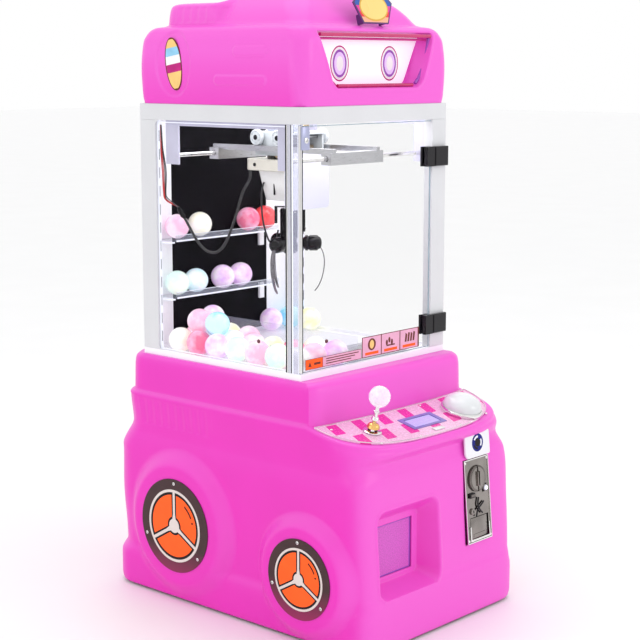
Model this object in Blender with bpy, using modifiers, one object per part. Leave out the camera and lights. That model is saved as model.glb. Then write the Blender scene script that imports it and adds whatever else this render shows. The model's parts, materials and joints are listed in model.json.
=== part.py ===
# Claw crane machine: moulded car-shaped base and roof, glazed cabinet, X-Y gantry,
# hoist and three-finger claw, control deck, coin unit and prize door.
# Metres, +Z up. Origin: centre of the footprint on the floor. Front = -Y, right = +X.
import math
import bpy
import bmesh
from mathutils import Matrix, Vector

# ------------------------------------------------------------------ dimensions
WALL = 0.004                      # moulded shell wall
GAP = 0.0003                      # clearance between touching pieces
BASE_HX = 0.2625                  # half width of the skirt
BASE_YF, BASE_YB = 0.385, 0.385   # front and rear faces of the skirt
FRONT_YC = -0.2255                # where the sides end and the bowed front begins
REAR_R = 0.062                    # rear corner radius
ARCH_X = 0.2815                   # wheel arch face
WHEELS = {"front": (-0.227, 0.143, 0.0855), "rear": (0.145, 0.180, 0.105)}  # Y, Z, disc radius
DISC_T = 0.0027
LEDGE_Z = 0.5424                  # top of the base
DECK_SLOPE = 0.252                # control deck falls towards the player
DECK_T = 0.003
CAB_HX, CAB_YF, CAB_YB = 0.235, -0.191, 0.287
CAB_Z0, CAB_Z1 = 0.5427, 1.0957
SILL_Z = 0.556
GLASS_T = 0.004
HEAD_Z = 1.061
ROOF_TOP = 1.335
HOIST_X, HOIST_Y = -0.013, 0.048  # hoist axis with the gantry in its rest place
RAIL_Z, ROD_R = 0.985, 0.005
ROD_YF, ROD_YR = -0.135, 0.200
ROLLER_R, ROLLER_Z, ROLLER_DY = 0.0175, 1.023, 0.032
BRIDGE_DX = 0.070                 # bridge rails either side of the hoist axis
COIL_R = 0.021
FINGER_PIVOT_R, FINGER_Z = 0.030, 0.789
FINGER_AZ = (-47.8, 72.2, 192.2)
HINGE_X, HINGE_Y = 0.1868, -0.2015
HINGE_ZS = (0.610, 0.981)
JOY = (-0.146, -0.306)
BUTTON = (0.139, -0.3170)
LCD = (0.006, -0.3150)
COIN_AT = (0.126, -0.3745, 0.255)
COIN_LEAN = math.radians(-5.1)
RECESS = (-0.205, -0.008, 0.108, 0.292)      # X0, X1, Z0, Z1 at the front face
RECESS_BACK = (-0.180, -0.033, 0.125, 0.262)
FLAP = (-0.168, -0.045, 0.133, 0.252)
RECESS_Y = -0.333


def deck_z(y):
    return 0.459 + DECK_SLOPE * (y + 0.235)


# ------------------------------------------------------------------ scene set-up
for _o in list(bpy.data.objects):
    bpy.data.objects.remove(_o, do_unlink=True)

SCENE = bpy.context.scene
PARTS = bpy.data.collections.new("claw_crane_machine")
CUTS = bpy.data.collections.new("cutters")
SCENE.collection.children.link(PARTS)
SCENE.collection.children.link(CUTS)

MATS = {}


def mat(name, rgb, rough=0.4, metal=0.0, alpha=1.0):
    if name not in MATS:
        m = bpy.data.materials.new(name)
        m.use_nodes = True
        b = m.node_tree.nodes["Principled BSDF"]
        b.inputs["Base Color"].default_value = (*rgb, 1.0)
        b.inputs["Roughness"].default_value = rough
        b.inputs["Metallic"].default_value = metal
        b.inputs["Alpha"].default_value = alpha
        MATS[name] = m
    return MATS[name]


PINK = ("pink_moulding", (0.90, 0.06, 0.45), 0.35, 0.0)
WHITE = ("white_sheet", (0.82, 0.82, 0.84), 0.4, 0.0)
CLEAR = ("clear_panel", (0.85, 0.92, 0.93), 0.05, 0.0, 0.25)
CHROME = ("bright_metal", (0.75, 0.75, 0.76), 0.15, 1.0)
STEEL = ("steel", (0.55, 0.55, 0.57), 0.3, 1.0)
BLACK = ("black_plastic", (0.015, 0.015, 0.017), 0.35, 0.0)
GREY = ("grey_plastic", (0.45, 0.46, 0.48), 0.45, 0.0)


def new_object(name, mesh, spec, smooth=True):
    ob = bpy.data.objects.new(name, mesh)
    PARTS.objects.link(ob)
    mesh.materials.clear()
    base = spec[0]
    ob.data.materials.append(mat(name + "_" + base, *spec[1:]))
    if smooth:
        mesh.shade_smooth()
        mesh.set_sharp_from_angle(angle=math.radians(35))
    return ob


def as_cutter(ob):
    PARTS.objects.unlink(ob)
    CUTS.objects.link(ob)
    ob.hide_render = True
    ob.display_type = "WIRE"
    return ob


def mesh_from_bm(name, bm):
    bmesh.ops.recalc_face_normals(bm, faces=bm.faces)
    me = bpy.data.meshes.new(name)
    bm.to_mesh(me)
    bm.free()
    return me


def box(name, lo, hi, spec, bevel=0.0, seg=2, mx=None):
    bm = bmesh.new()
    bmesh.ops.create_cube(bm, size=1.0)
    size = [hi[i] - lo[i] for i in range(3)]
    mid = [(hi[i] + lo[i]) / 2 for i in range(3)]
    bmesh.ops.scale(bm, vec=size, verts=bm.verts)
    bmesh.ops.translate(bm, vec=mid, verts=bm.verts)
    if bevel:
        bmesh.ops.bevel(bm, geom=list(bm.edges), offset=bevel, segments=seg, affect="EDGES", profile=0.5)
    if mx is not None:
        bmesh.ops.transform(bm, matrix=mx, verts=bm.verts)
    return new_object(name, mesh_from_bm(name, bm), spec)


def cyl(name, centre, r, length, spec, axis="Z", seg=24, r2=None, mx=None):
    bm = bmesh.new()
    bmesh.ops.create_cone(bm, cap_ends=True, segments=seg, radius1=r, radius2=r if r2 is None else r2, depth=length)
    rot = {"Z": Matrix(), "X": Matrix.Rotation(math.pi / 2, 4, "Y"), "Y": Matrix.Rotation(-math.pi / 2, 4, "X")}[axis]
    m = Matrix.Translation(centre) @ rot
    if mx is not None:
        m = mx @ m
    bmesh.ops.transform(bm, matrix=m, verts=bm.verts)
    return new_object(name, mesh_from_bm(name, bm), spec)


def prism(name, pts, z0, z1, spec, mx=None):
    """A flat outline in X-Y, extruded from z0 to z1."""
    bm = bmesh.new()
    face = bm.faces.new([bm.verts.new((p[0], p[1], z0)) for p in pts])
    up = bmesh.ops.extrude_face_region(bm, geom=[face])
    bmesh.ops.translate(bm, vec=(0, 0, z1 - z0), verts=[v for v in up["geom"] if isinstance(v, bmesh.types.BMVert)])
    if mx is not None:
        bmesh.ops.transform(bm, matrix=mx, verts=bm.verts)
    return new_object(name, mesh_from_bm(name, bm), spec)


def turned(name, profile, spec, seg=24, mx=None):
    """A closed profile (radius, z) turned about Z; radius 0 points close on the axis."""
    bm = bmesh.new()
    vs = [bm.verts.new((p[0], 0, p[1])) for p in profile]
    es = [bm.edges.new((vs[i], vs[(i + 1) % len(vs)])) for i in range(len(vs))
          if not (profile[i][0] == 0 and profile[(i + 1) % len(vs)][0] == 0)]
    bmesh.ops.spin(bm, geom=vs + es, cent=(0, 0, 0), axis=(0, 0, 1), angle=2 * math.pi, steps=seg, use_merge=True)
    bmesh.ops.remove_doubles(bm, verts=bm.verts, dist=1e-5)
    if mx is not None:
        bmesh.ops.transform(bm, matrix=mx, verts=bm.verts)
    return new_object(name, mesh_from_bm(name, bm), spec)


def loft(name, rings, spec, close_ends=True, close_loop=False, mx=None):
    """Rings of equal length joined in order."""
    bm = bmesh.new()
    rows = [[bm.verts.new(p) for p in r] for r in rings]
    n = len(rings[0])
    pairs = list(zip(rows[:-1], rows[1:]))
    if close_loop:
        pairs.append((rows[-1], rows[0]))
    for a, b in pairs:
        for i in range(n):
            j = (i + 1) % n
            bm.faces.new((a[i], a[j], b[j], b[i]))
    if close_ends and not close_loop:
        bm.faces.new(rows[0])
        bm.faces.new(rows[-1])
    if mx is not None:
        bmesh.ops.transform(bm, matrix=mx, verts=bm.verts)
    return new_object(name, mesh_from_bm(name, bm), spec)


def boolean(ob, other, op):
    m = ob.modifiers.new(op.lower() + "_" + other.name, "BOOLEAN")
    m.operation = op
    m.object = other
    m.solver = "EXACT"
    as_cutter(other)
    return m


def cut(ob, other):
    return boolean(ob, other, "DIFFERENCE")


def join(ob, other):
    return boolean(ob, other, "UNION")


def tube(name, pts, r, spec, bevel_resolution=2):
    cu = bpy.data.curves.new(name, "CURVE")
    cu.dimensions = "3D"
    sp = cu.splines.new("POLY")
    sp.points.add(len(pts) - 1)
    for p, q in zip(sp.points, pts):
        p.co = (*q, 1.0)
    cu.bevel_depth = r
    cu.bevel_resolution = bevel_resolution
    cu.use_fill_caps = True
    ob = bpy.data.objects.new(name, cu)
    PARTS.objects.link(ob)
    cu.materials.append(mat(name + "_" + spec[0], *spec[1:]))
    return ob


def smooth_route(ctrl, n):
    """Catmull-Rom curve through the control points, n points evenly spaced along it."""
    c = [Vector(p) for p in ctrl]
    c = [c[0] * 2 - c[1]] + c + [c[-1] * 2 - c[-2]]
    fine = []
    for i in range(1, len(c) - 2):
        for k in range(24):
            t = k / 24
            a, b, d, e = c[i - 1], c[i], c[i + 1], c[i + 2]
            fine.append(0.5 * ((2 * b) + (d - a) * t + (2 * a - 5 * b + 4 * d - e) * t * t
                               + (3 * b - a - 3 * d + e) * t ** 3))
    fine.append(c[-2])
    run = [0.0]
    for a, b in zip(fine[:-1], fine[1:]):
        run.append(run[-1] + (b - a).length)
    out, k = [], 0
    for i in range(n):
        s = run[-1] * i / (n - 1)
        while k < len(run) - 2 and run[k + 1] < s:
            k += 1
        f = (s - run[k]) / max(run[k + 1] - run[k], 1e-9)
        out.append(fine[k].lerp(fine[k + 1], min(max(f, 0), 1)))
    return out


# ------------------------------------------------------------------ base shell
# Each column of the plan outline is the same on every level, so the levels loft.
FRONT_PHI = [0, 14, 28.6, 36, 41.5, 45, 48.5, 54, 62, 71, 81, 90]
SIDE_Y = [-0.185, -0.1415, -0.098, -0.055, -0.012, 0.019, 0.045, 0.0925, 0.145, 0.1975, 0.250, 0.2855]


def front_point(hx, yf, n, phi):
    """Superellipse in polar form about (0, FRONT_YC); phi 0 at +X, 90 at the front."""
    c, s = math.cos(math.radians(phi)), math.sin(math.radians(phi))
    r = 1.0 / ((abs(c) ** n + abs(s) ** n) ** (1.0 / n))
    return hx * r * c, FRONT_YC - (yf + FRONT_YC) * r * s


def outline(hx, yf, n, yb, rb):
    """Plan outline, counter-clockwise seen from above, starting at the right side.
    Gives (x, y, tag) with tag 'f' on the bowed front, 's' on a side, 'r' at the rear."""
    pts = []
    ys = [y if y < 0.19 else 0.19 + (y - 0.19) * (yb - rb - 0.19) / (0.323 - 0.19) for y in SIDE_Y]
    for y in ys:
        pts.append((hx, y, "s"))
    for a in (0, 30, 60, 90):
        pts.append((hx - rb + rb * math.cos(math.radians(a)), yb - rb + rb * math.sin(math.radians(a)), "r"))
    for x in (0.6, 0.0, -0.6):
        pts.append((x * (hx - rb), yb, "r"))
    for a in (90, 120, 150, 180):
        pts.append((-hx + rb + rb * math.cos(math.radians(a)), yb - rb + rb * math.sin(math.radians(a)), "r"))
    for y in reversed(ys):
        pts.append((-hx, y, "s"))
    phis = FRONT_PHI + [180 - p for p in reversed(FRONT_PHI[:-1])]
    for p in reversed(phis):
        x, y = front_point(hx, yf, n, p)
        pts.append((x, y, "f"))
    return pts


def wheel_mix(y):
    a, b = WHEELS["front"], WHEELS["rear"]
    t = min(max((y - a[0]) / (b[0] - a[0]), 0), 1)
    return a[1] + (b[1] - a[1]) * t, a[2] + (b[2] - a[2]) * t


def arch(x, y, z):
    """Wheel arches stand proud of the sides, flat where the wheel discs sit."""
    w = 0.0
    for wy, wz, wr in WHEELS.values():
        d = math.hypot(y - wy, z - wz) / wr
        t = min(max((1.62 - d) / 0.40, 0), 1)
        w = max(w, t * t * (3 - 2 * t))
    side = abs(x) / BASE_HX
    if side < 0.90:
        return x
    k = min((side - 0.90) / 0.06, 1)
    return math.copysign(abs(x) + (ARCH_X - abs(x)) * w * k, x)


def base_rings():
    rings = []

    def level(fn, **kw):
        rings.append([fn(x, y, t) for x, y, t in outline(**kw)])

    low = dict(hx=BASE_HX, n=13, yb=BASE_YB, rb=REAR_R)
    level(lambda x, y, t: (x, y, 0.006), **{**low, "yf": BASE_YF - 0.004})
    for s, yf in ((-1.2, 0.385), (-0.6, 0.3845), (0.0, 0.3800), (0.6, 0.3765), (1.2, 0.3725)):
        def f(x, y, t, s=s):
            zc, zr = wheel_mix(y)
            z = zc + s * zr
            return (arch(x, y, z), y, z)
        level(f, **{**low, "yf": yf})
    level(lambda x, y, t: (arch(x, y, 0.3435), y, 0.3435), **{**low, "yf": 0.3675, "n": 11})
    level(lambda x, y, t: (x, y, 0.381), hx=0.2545, yf=0.361, n=6, yb=0.352, rb=0.055)
    deck = dict(yb=0.3385, rb=0.052)
    level(lambda x, y, t: (x, y, deck_z(y) - 0.014 if t == "f" else 0.4474), hx=0.259, yf=0.3780, n=3.6, **deck)
    level(lambda x, y, t: (x, y, deck_z(y) - 0.0033 - 0.0003 if t == "f" else 0.4578), hx=0.2545, yf=0.3760, n=3.4, **deck)
    # upper block: its front wall stands at the back of the deck
    def upper(hx, z, front, bow, yb, drop=None):
        ref = outline(hx, 0.3645, 3.4, yb, 0.050)
        ring = []
        for x, y, t in ref:
            if t == "f":
                f = min(abs(x) / hx, 1)
                y2 = front - bow * (1 - f * f)
                x2 = math.copysign(hx * min(f, 0.94 + 0.06 * f), x)
                y2 += 0.010 * max(0, (f - 0.9) / 0.1) ** 2
                zz = deck_z(y2) - 0.0036 if drop else z
                ring.append((x2, y2, zz))
            else:
                ring.append((x, y, z))
        rings.append(ring)
    upper(0.2505, 0.4614, -0.2360, 0.0115, 0.3350, drop=True)
    upper(0.2490, 0.5180, -0.2350, 0.0080, 0.3340)
    upper(0.2470, 0.5335, -0.2320, 0.0060, 0.3320)
    upper(0.2410, 0.5424, -0.2200, 0.0030, 0.3240)
    ring = []
    for x, y, z in rings[-1]:
        ring.append((x * 0.222 / 0.241, -0.178 + (y + 0.223) * 0.452 / 0.547, LEDGE_Z))
    rings.append(ring)
    return rings


def tray(name, front, back, hole, y_of, y_back, wall, spec):
    """A tapered, recessed tray: rim at the front face, a window in its back plate.
    front, back, hole are (x0, x1, z0, z1); y_of(z) is the front face."""
    def ring(r, g, y, cr=0.010):
        x0, x1, z0, z1 = r[0] - g, r[1] + g, r[2] - g, r[3] + g
        pts = [(x0 + cr, z0), (x1 - cr, z0), (x1, z0 + cr), (x1, z1 - cr), (x1 - cr, z1), (x0 + cr, z1), (x0, z1 - cr), (x0, z0 + cr)]
        return [(px, y(pz) if callable(y) else y, pz) for px, pz in pts]
    rings = [ring(front, wall, lambda z: y_of(z) + 0.0022), ring(back, wall, y_back + wall), ring(hole, 0, y_back + wall, 0.004),
             ring(hole, 0, y_back, 0.004), ring(back, 0, y_back), ring(front, 0, lambda z: y_of(z) + 0.0022)]
    return loft(name, rings, spec, close_loop=True)


def front_face_y(z):
    """Outer face of the base front between the bumper and the shoulder."""
    pts = [(0.0404, -0.385), (0.0917, -0.3845), (0.143, -0.380), (0.1943, -0.3765), (0.2456, -0.3725), (0.3435, -0.3675)]
    for (z0, y0), (z1, y1) in zip(pts[:-1], pts[1:]):
        if z <= z1:
            return y0 + (y1 - y0) * (z - z0) / (z1 - z0)
    return pts[-1][1]


shell = loft("base_shell", base_rings(), PINK, close_ends=False)
sol = shell.modifiers.new("wall", "SOLIDIFY")
sol.thickness = WALL
sol.offset = -1.0
sol.use_even_offset = True
sol.use_rim = True

COIN_MX = Matrix.Translation(COIN_AT) @ Matrix.Rotation(COIN_LEAN, 4, "X")
DECK_TILT = math.atan(DECK_SLOPE)


def deck_mx(x, y):
    return Matrix.Translation((x, y, deck_z(y))) @ Matrix.Rotation(DECK_TILT, 4, "X")


def deck_outline(a, b, back_end, bow, n=2.9, k=14):
    """Half-moon outline of the deck in plan: superellipse front, bowed back edge."""
    pts = []
    for i in range(k + 1):
        p = 180.0 * i / k
        c, s = math.cos(math.radians(p)), math.sin(math.radians(p))
        r = 1.0 / ((abs(c) ** n + abs(s) ** n) ** (1.0 / n))
        x, y = a * r * c, FRONT_YC - b * r * s
        if y < back_end - 0.006:
            pts.append((x, y))
    e = pts[0][0]
    back = [(-e * f, back_end - bow * (1 - f * f)) for f in (1.0, 0.8, 0.4, 0.0, -0.4, -0.8, -1.0)]
    return pts + back


def deck_slab(name, a, b, back_end, bow, n0, n1, spec):
    """The half-moon outline as a slab between two heights measured square to the deck."""
    nx = Vector((0, -math.sin(DECK_TILT), math.cos(DECK_TILT)))
    rings = []
    for h in (n0, n1):
        rings.append([tuple(Vector((x, y, deck_z(y))) + nx * h) for x, y in deck_outline(a, b, back_end, bow)])
    return loft(name, rings, spec)


cut(shell, box("cut_recess", (RECESS[0], -0.42, RECESS[2]), (RECESS[1], -0.350, RECESS[3]), PINK))
join(shell, tray("recess_tray", RECESS, RECESS_BACK, (FLAP[0] + 0.004, FLAP[1] - 0.004, FLAP[2] + 0.004, FLAP[3] - 0.004),
                 front_face_y, RECESS_Y, 0.0035, PINK))
cut(shell, box("cut_coin", (-0.0445, -0.05, -0.0945), (0.0445, 0.03, 0.0915), PINK, mx=COIN_MX))
cut(shell, deck_slab("cut_deck", 0.240, 0.1375, -0.262, 0.006, -0.016, 0.010, PINK))
cut(shell, box("cut_rear_door", (-0.1445, 0.36, 0.070), (0.1400, 0.42, 0.320), PINK))
cut(shell, box("cut_inlet", (0.1597, 0.36, 0.0297), (0.2003, 0.42, 0.0603), PINK))

# ------------------------------------------------------------------ base: floor, wheels, rear door, inside
floor_plate = box("base_floor", (-0.245, -0.358, 0.014), (0.245, 0.355, 0.024), GREY)
for fx in (-0.205, 0.205):
    for fy in (-0.310, 0.310):
        join(floor_plate, cyl("glide", (fx, fy, 0.008), 0.020, 0.016, GREY, seg=20))

for side, sx in (("left", -1), ("right", 1)):
    for pos, (wy, wz, wr) in WHEELS.items():
        x0 = ARCH_X + GAP
        cyl(f"wheel_disc_{pos}_{side}", (sx * (x0 + DISC_T / 2), wy, wz), wr, DISC_T,
            ("disc", (0.16, 0.07, 0.06), 0.3, 0.0), axis="X", seg=32)

box("rear_service_door", (-0.1400, 0.3808, 0.071), (0.1390, 0.3845, 0.319), PINK)
box("power_inlet", (0.1600, 0.352, 0.030), (0.2000, 0.3848, 0.060), BLACK, bevel=0.0015, seg=1)
cut(bpy.data.objects["power_inlet"], box("cut_socket", (0.1655, 0.366, 0.0355), (0.1945, 0.40, 0.0545), BLACK))
coin_box = box("coin_box", (0.070, -0.325, 0.0245), (0.185, -0.170, 0.135), STEEL)
cut(coin_box, box("cut_coin_box", (0.072, -0.323, 0.0265), (0.183, -0.172, 0.20), STEEL))

# prize chute: from the opening in the play floor down to the flap
def rect(x0, x1, y0, y1, z):
    return [(x0, y0, z), (x1, y0, z), (x1, y1, z), (x0, y1, z)]


CHUTE_IN = [rect(-0.187, -0.029, -0.3140, -0.150, 0.121), rect(-0.187, -0.029, -0.3140, -0.150, 0.290),
            rect(-0.040, 0.160, -0.170, -0.015, LEDGE_Z - GAP)]
CHUTE_OUT = [rect(-0.043, 0.163, -0.173, -0.012, LEDGE_Z - GAP), rect(-0.190, -0.026, -0.3170, -0.147, 0.290),
             rect(-0.190, -0.026, -0.3170, -0.147, 0.118)]
chute = loft("prize_chute", CHUTE_IN + CHUTE_OUT, WHITE)
cut(chute, box("cut_chute_window", (-0.174, -0.33, 0.128), (-0.039, -0.300, 0.264), WHITE))

# prize flap: hangs behind the window of the recess, swings inwards about its top edge
flap_hinge = (0.0, -0.3272, 0.2562)
box("prize_flap", (FLAP[0] - 0.001, -0.3289, FLAP[2] - 0.002), (FLAP[1] + 0.001, -0.3261, 0.2575),
    ("flap_plastic", (0.62, 0.30, 0.75), 0.35, 0.0, 0.6))

# ------------------------------------------------------------------ control deck
deck = deck_slab("deck_panel", 0.250, 0.1460, -0.2405, 0.0100, -DECK_T, 0.0, ("deck_face", (0.85, 0.30, 0.55), 0.25, 0.0))
cut(deck, cyl("cut_joy", (0, 0, 0), 0.016, 0.02, CHROME, mx=deck_mx(*JOY)))
cut(deck, cyl("cut_button", (0, 0, 0), 0.0165, 0.02, CHROME, mx=deck_mx(*BUTTON)))
cut(deck, box("cut_lcd", (-0.051, -0.021, -0.01), (0.051, 0.021, 0.01), CHROME, mx=deck_mx(*LCD)))
box("display_module", (-0.0505, -0.0205, -0.015), (0.0505, 0.0205, -0.0008), ("display", (0.45, 0.35, 0.75), 0.2, 0.0), mx=deck_mx(*LCD))

JM = deck_mx(*JOY)
jb = box("joystick_base", (-0.0195, -0.0195, -0.042), (0.0195, 0.0195, -0.0034), BLACK, mx=JM)
cut(jb, box("cut_joy_base", (-0.0170, -0.0170, -0.038), (0.0170, 0.0170, 0.01), BLACK, mx=JM))
# gimbal: a ring round the shaft, hinged on the left-right axis
gim = cyl("joystick_gimbal", (0, 0, -0.012), 0.0135, 0.004, STEEL, mx=JM, seg=20)
cut(gim, cyl("cut_gimbal", (0, 0, -0.012), 0.0090, 0.02, STEEL, mx=JM, seg=20))
turned("joystick_shaft", [(0, 0.0560), (0.0035, 0.0560), (0.0045, 0.054), (0.0045, 0.003), (0.0060, 0.001), (0.0060, -0.006),
                          (0.0040, -0.008), (0.0040, -0.026), (0, -0.026)], CHROME, seg=16, mx=JM)
turned("joystick_ball", [(0, 0.1005)] + [(0.0225 * math.sin(math.radians(a)), 0.078 + 0.0225 * math.cos(math.radians(a))) for a in range(15, 166, 15)]
       + [(0.0052, 0.0563), (0, 0.0563)], CLEAR, seg=20, mx=JM)

BM = deck_mx(*BUTTON)
turned("button_ring", [(0.0458, 0.0080), (0.0465, 0.0060), (0.0465, GAP), (0.0158, GAP), (0.0158, -0.036), (0.0088, -0.036),
                       (0.0088, 0.0028), (0.0428, 0.0028), (0.0428, 0.0095), (0.0450, 0.0095)], CHROME, seg=32, mx=BM)
turned("button_dome", [(0, 0.0385)] + [(0.0420 * math.sin(math.radians(a)), 0.0125 + 0.026 * math.cos(math.radians(a))) for a in (12, 25, 40, 55, 70, 82)]
       + [(0.0420, 0.0120), (0.0420, 0.0078), (0.0080, 0.0078), (0.0080, -0.020), (0, -0.020)],
       ("dome_white", (0.85, 0.92, 0.92), 0.2, 0.0), seg=28, mx=BM)

# ------------------------------------------------------------------ coin unit, leaning back with the front face
mech = box("coin_mech", (-0.0430, -0.0020, -0.0925), (0.0430, 0.055, 0.0900), CHROME, mx=COIN_MX)
cut(mech, box("cut_coin_slot", (-0.0015, -0.03, 0.030), (0.0015, 0.030, 0.060), CHROME, mx=COIN_MX))
cut(mech, cyl("cut_reject", (0.026, 0.0, 0.020), 0.0075, 0.050, CHROME, axis="Y", mx=COIN_MX, seg=16))
cut(mech, box("cut_cup", (-0.030, -0.03, -0.085), (0.030, 0.050, -0.038), CHROME, mx=COIN_MX))
cyl("coin_reject_button", (0.026, 0.0040, 0.020), 0.0070, 0.019, STEEL, axis="Y", mx=COIN_MX, seg=16)
box("coin_return_flap", (-0.0290, 0.0002, -0.0835), (0.0290, 0.0022, -0.0390), STEEL, mx=COIN_MX)

# ------------------------------------------------------------------ cabinet
pf = box("play_floor", (-CAB_HX, CAB_YF, CAB_Z0), (CAB_HX, CAB_YB, SILL_Z), WHITE)
cut(pf, box("cut_play", (-CAB_HX + 0.006, CAB_YF + 0.006, 0.5490), (CAB_HX - 0.006, CAB_YB - 0.006, 0.60), WHITE))
cut(pf, box("cut_chute", (-0.040, -0.170, 0.50), (0.160, -0.015, 0.60), WHITE))
box("chute_guard", (-0.0515, -0.1825, 0.5493), (-0.0485, 0.2795, 0.611), CLEAR)

Z0, Z1 = SILL_Z + GAP, HEAD_Z - GAP
prism("post_front_left", [(-0.235, -0.1850), (-0.2225, -0.1850), (-0.2225, -0.1820), (-0.232, -0.1820), (-0.232, -0.1490), (-0.235, -0.1490)],
      Z0, Z1, ("aluminium", (0.62, 0.62, 0.66), 0.3, 0.9))
box("post_front_right", (0.1880, -0.191, Z0), (0.235, -0.169, Z1), WHITE)
for sx, nm in ((-1, "left"), (1, "right")):
    pts = [(sx * 0.235, 0.2390), (sx * 0.235, 0.287), (sx * 0.152, 0.287), (sx * 0.152, 0.2818), (sx * 0.2285, 0.2818), (sx * 0.2285, 0.2390)]
    prism("post_rear_" + nm, pts, Z0, Z1, WHITE)
box("back_panel", (-0.1517, 0.2818, Z0), (0.1517, 0.2848, Z1), BLACK)
box("glass_left", (-0.2345, -0.1487, Z0), (-0.2305, 0.2387, Z1), CLEAR)
box("glass_right", (0.2305, -0.1687, Z0), (0.2345, 0.2387, Z1), CLEAR)
head = box("header_frame", (-CAB_HX, CAB_YF, HEAD_Z), (CAB_HX, CAB_YB, CAB_Z1), WHITE)
cut(head, box("cut_head", (-0.215, CAB_YF + 0.020, 1.0), (0.215, CAB_YB - 0.020, 1.2), WHITE))
join(head, box("ceiling", (-0.217, CAB_YF + 0.018, 1.088), (0.217, CAB_YB - 0.018, 1.092), WHITE))
for nm, z in (("shelf_upper", 0.795), ("shelf_lower", 0.668)):
    sh = box(nm, (-0.190, 0.2260, z - 0.003), (0.137, 0.2810, z), CLEAR)
    join(sh, box(nm + "_lip", (-0.190, 0.2260, z - 0.002), (0.137, 0.2285, z + 0.011), CLEAR))

# door: frameless glass with two clamp hinges at the right
box("door_glass", (-0.2345, -0.1905, SILL_Z + 0.003), (0.1830, -0.1855, HEAD_Z - 0.002), CLEAR)
for nm, z in (("lower", HINGE_ZS[0]), ("upper", HINGE_ZS[1])):
    box(f"hinge_{nm}_fixed", (0.1882, -0.2015, z - 0.0215), (0.2330, -0.1913, z + 0.0215), BLACK, bevel=0.0015, seg=1)
    cl = box(f"hinge_{nm}_clamp", (0.1600, -0.2005, z - 0.0215), (0.1855, -0.1800, z + 0.0215), BLACK)
    cut(cl, box(f"cut_clamp_{nm}", (0.10, -0.1908, z - 0.03), (0.1833, -0.1852, z + 0.03), BLACK))

# ------------------------------------------------------------------ gantry
for nm, y in (("rail_front", ROD_YF), ("rail_rear", ROD_YR)):
    cyl(nm, (0, y, RAIL_Z), ROD_R, 2 * 0.2172, CHROME, axis="X", seg=14)
for nm, sx in (("rail_bracket_left", -1), ("rail_bracket_right", 1)):
    x0, x1 = sorted((sx * 0.2175, sx * 0.2215))
    plate = box(nm, (x0, ROD_YF - 0.020, 0.966), (x1, ROD_YR + 0.020, HEAD_Z - GAP), GREY)
    # cut away between the rods, leaving a leg for each and a strip under the header
    cut(plate, box("cut_" + nm, (x0 - 0.01, ROD_YF + 0.020, 0.90), (x1 + 0.01, ROD_YR - 0.020, 1.0490), GREY))

bx0, bx1 = HOIST_X - BRIDGE_DX, HOIST_X + BRIDGE_DX
beam = box("bridge_frame", (bx0 - 0.014, ROD_YF - 0.014, 0.972), (bx1 + 0.014, ROD_YF + 0.014, 0.9975), GREY)
join(beam, box("bridge_rear", (bx0 - 0.014, ROD_YR - 0.014, 0.972), (bx1 + 0.014, ROD_YR + 0.014, 0.9975), GREY))
for nm, x in (("bridge_rail_l", bx0), ("bridge_rail_r", bx1)):
    join(beam, box(nm, (x - 0.005, ROD_YF - 0.012, 0.9935), (x + 0.005, ROD_YR + 0.012, ROLLER_Z - ROLLER_R - GAP), STEEL))
for y in (ROD_YF, ROD_YR):
    cut(beam, cyl("cut_rod_%d" % (y > 0), (HOIST_X, y, RAIL_Z), ROD_R + 0.0008, 0.30, STEEL, axis="X", seg=14))

ch = box("trolley_chassis", (bx0 + 0.012, HOIST_Y - 0.052, 1.0290), (bx1 - 0.012, HOIST_Y + 0.052, 1.0350), GREY)
for i, x in enumerate((bx0 + 0.012, bx1 - 0.017)):
    join(ch, box("cheek_%d" % i, (x, HOIST_Y - 0.048, 0.9840), (x + 0.005, HOIST_Y + 0.048, 1.0310), GREY))
for i, dy in enumerate((-ROLLER_DY, ROLLER_DY)):
    cut(ch, cyl("cut_axle_%d" % i, (HOIST_X, HOIST_Y + dy, ROLLER_Z), 0.0036, 0.30, GREY, axis="X", seg=12))
    ax = turned("roller_axle_" + ("front", "rear")[i],
                [(0, 0.0755), (0.0150, 0.0755), (ROLLER_R, 0.0735), (ROLLER_R, 0.0655), (0.0070, 0.0640), (0.0030, 0.0635),
                 (0.0030, -0.0635), (0.0070, -0.0640), (ROLLER_R, -0.0655), (ROLLER_R, -0.0735), (0.0150, -0.0755), (0, -0.0755)], GREY, seg=20,
                mx=Matrix.Translation((HOIST_X, HOIST_Y + dy, ROLLER_Z)) @ Matrix.Rotation(math.pi / 2, 4, "Y"))
HX, HY = HOIST_X, HOIST_Y
house = loft("hoist_housing", [
    [(HX + sx * 0.044, HY + sy * 0.036, 0.885) for sx, sy in ((-1, -1), (1, -1), (1, 1), (-1, 1))],
    [(HX + sx * 0.056, HY + sy * 0.047, 0.952) for sx, sy in ((-1, -1), (1, -1), (1, 1), (-1, 1))]], ("hoist_white", (0.75, 0.75, 0.74), 0.4, 0.0))
join(house, box("hoist_band", (HX - 0.064, HY - 0.048, 0.950), (HX + 0.064, HY + 0.080, 0.9755), WHITE))
join(house, box("hoist_neck", (HX - 0.050, HY - 0.030, 0.970), (HX + 0.050, HY + 0.030, 1.0050), STEEL))
box("hoist_cover", (HX - 0.069, HY - 0.0545, 0.867), (HX + 0.069, HY - 0.0495, 0.9915), WHITE)

# ------------------------------------------------------------------ claw
CM = Matrix.Translation((HX, HY, 0))
turned("claw_body", [(0, 0.868), (0.009, 0.868), (0.010, 0.866), (COIL_R - 0.002, 0.866), (COIL_R, 0.864), (COIL_R, 0.803), (COIL_R - 0.002, 0.8010),
                     (0.0150, 0.8010), (0.0150, 0.790), (0.0185, 0.788), (0.0185, 0.772), (0.012, 0.766), (0, 0.766)], BLACK, seg=24, mx=CM)


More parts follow.
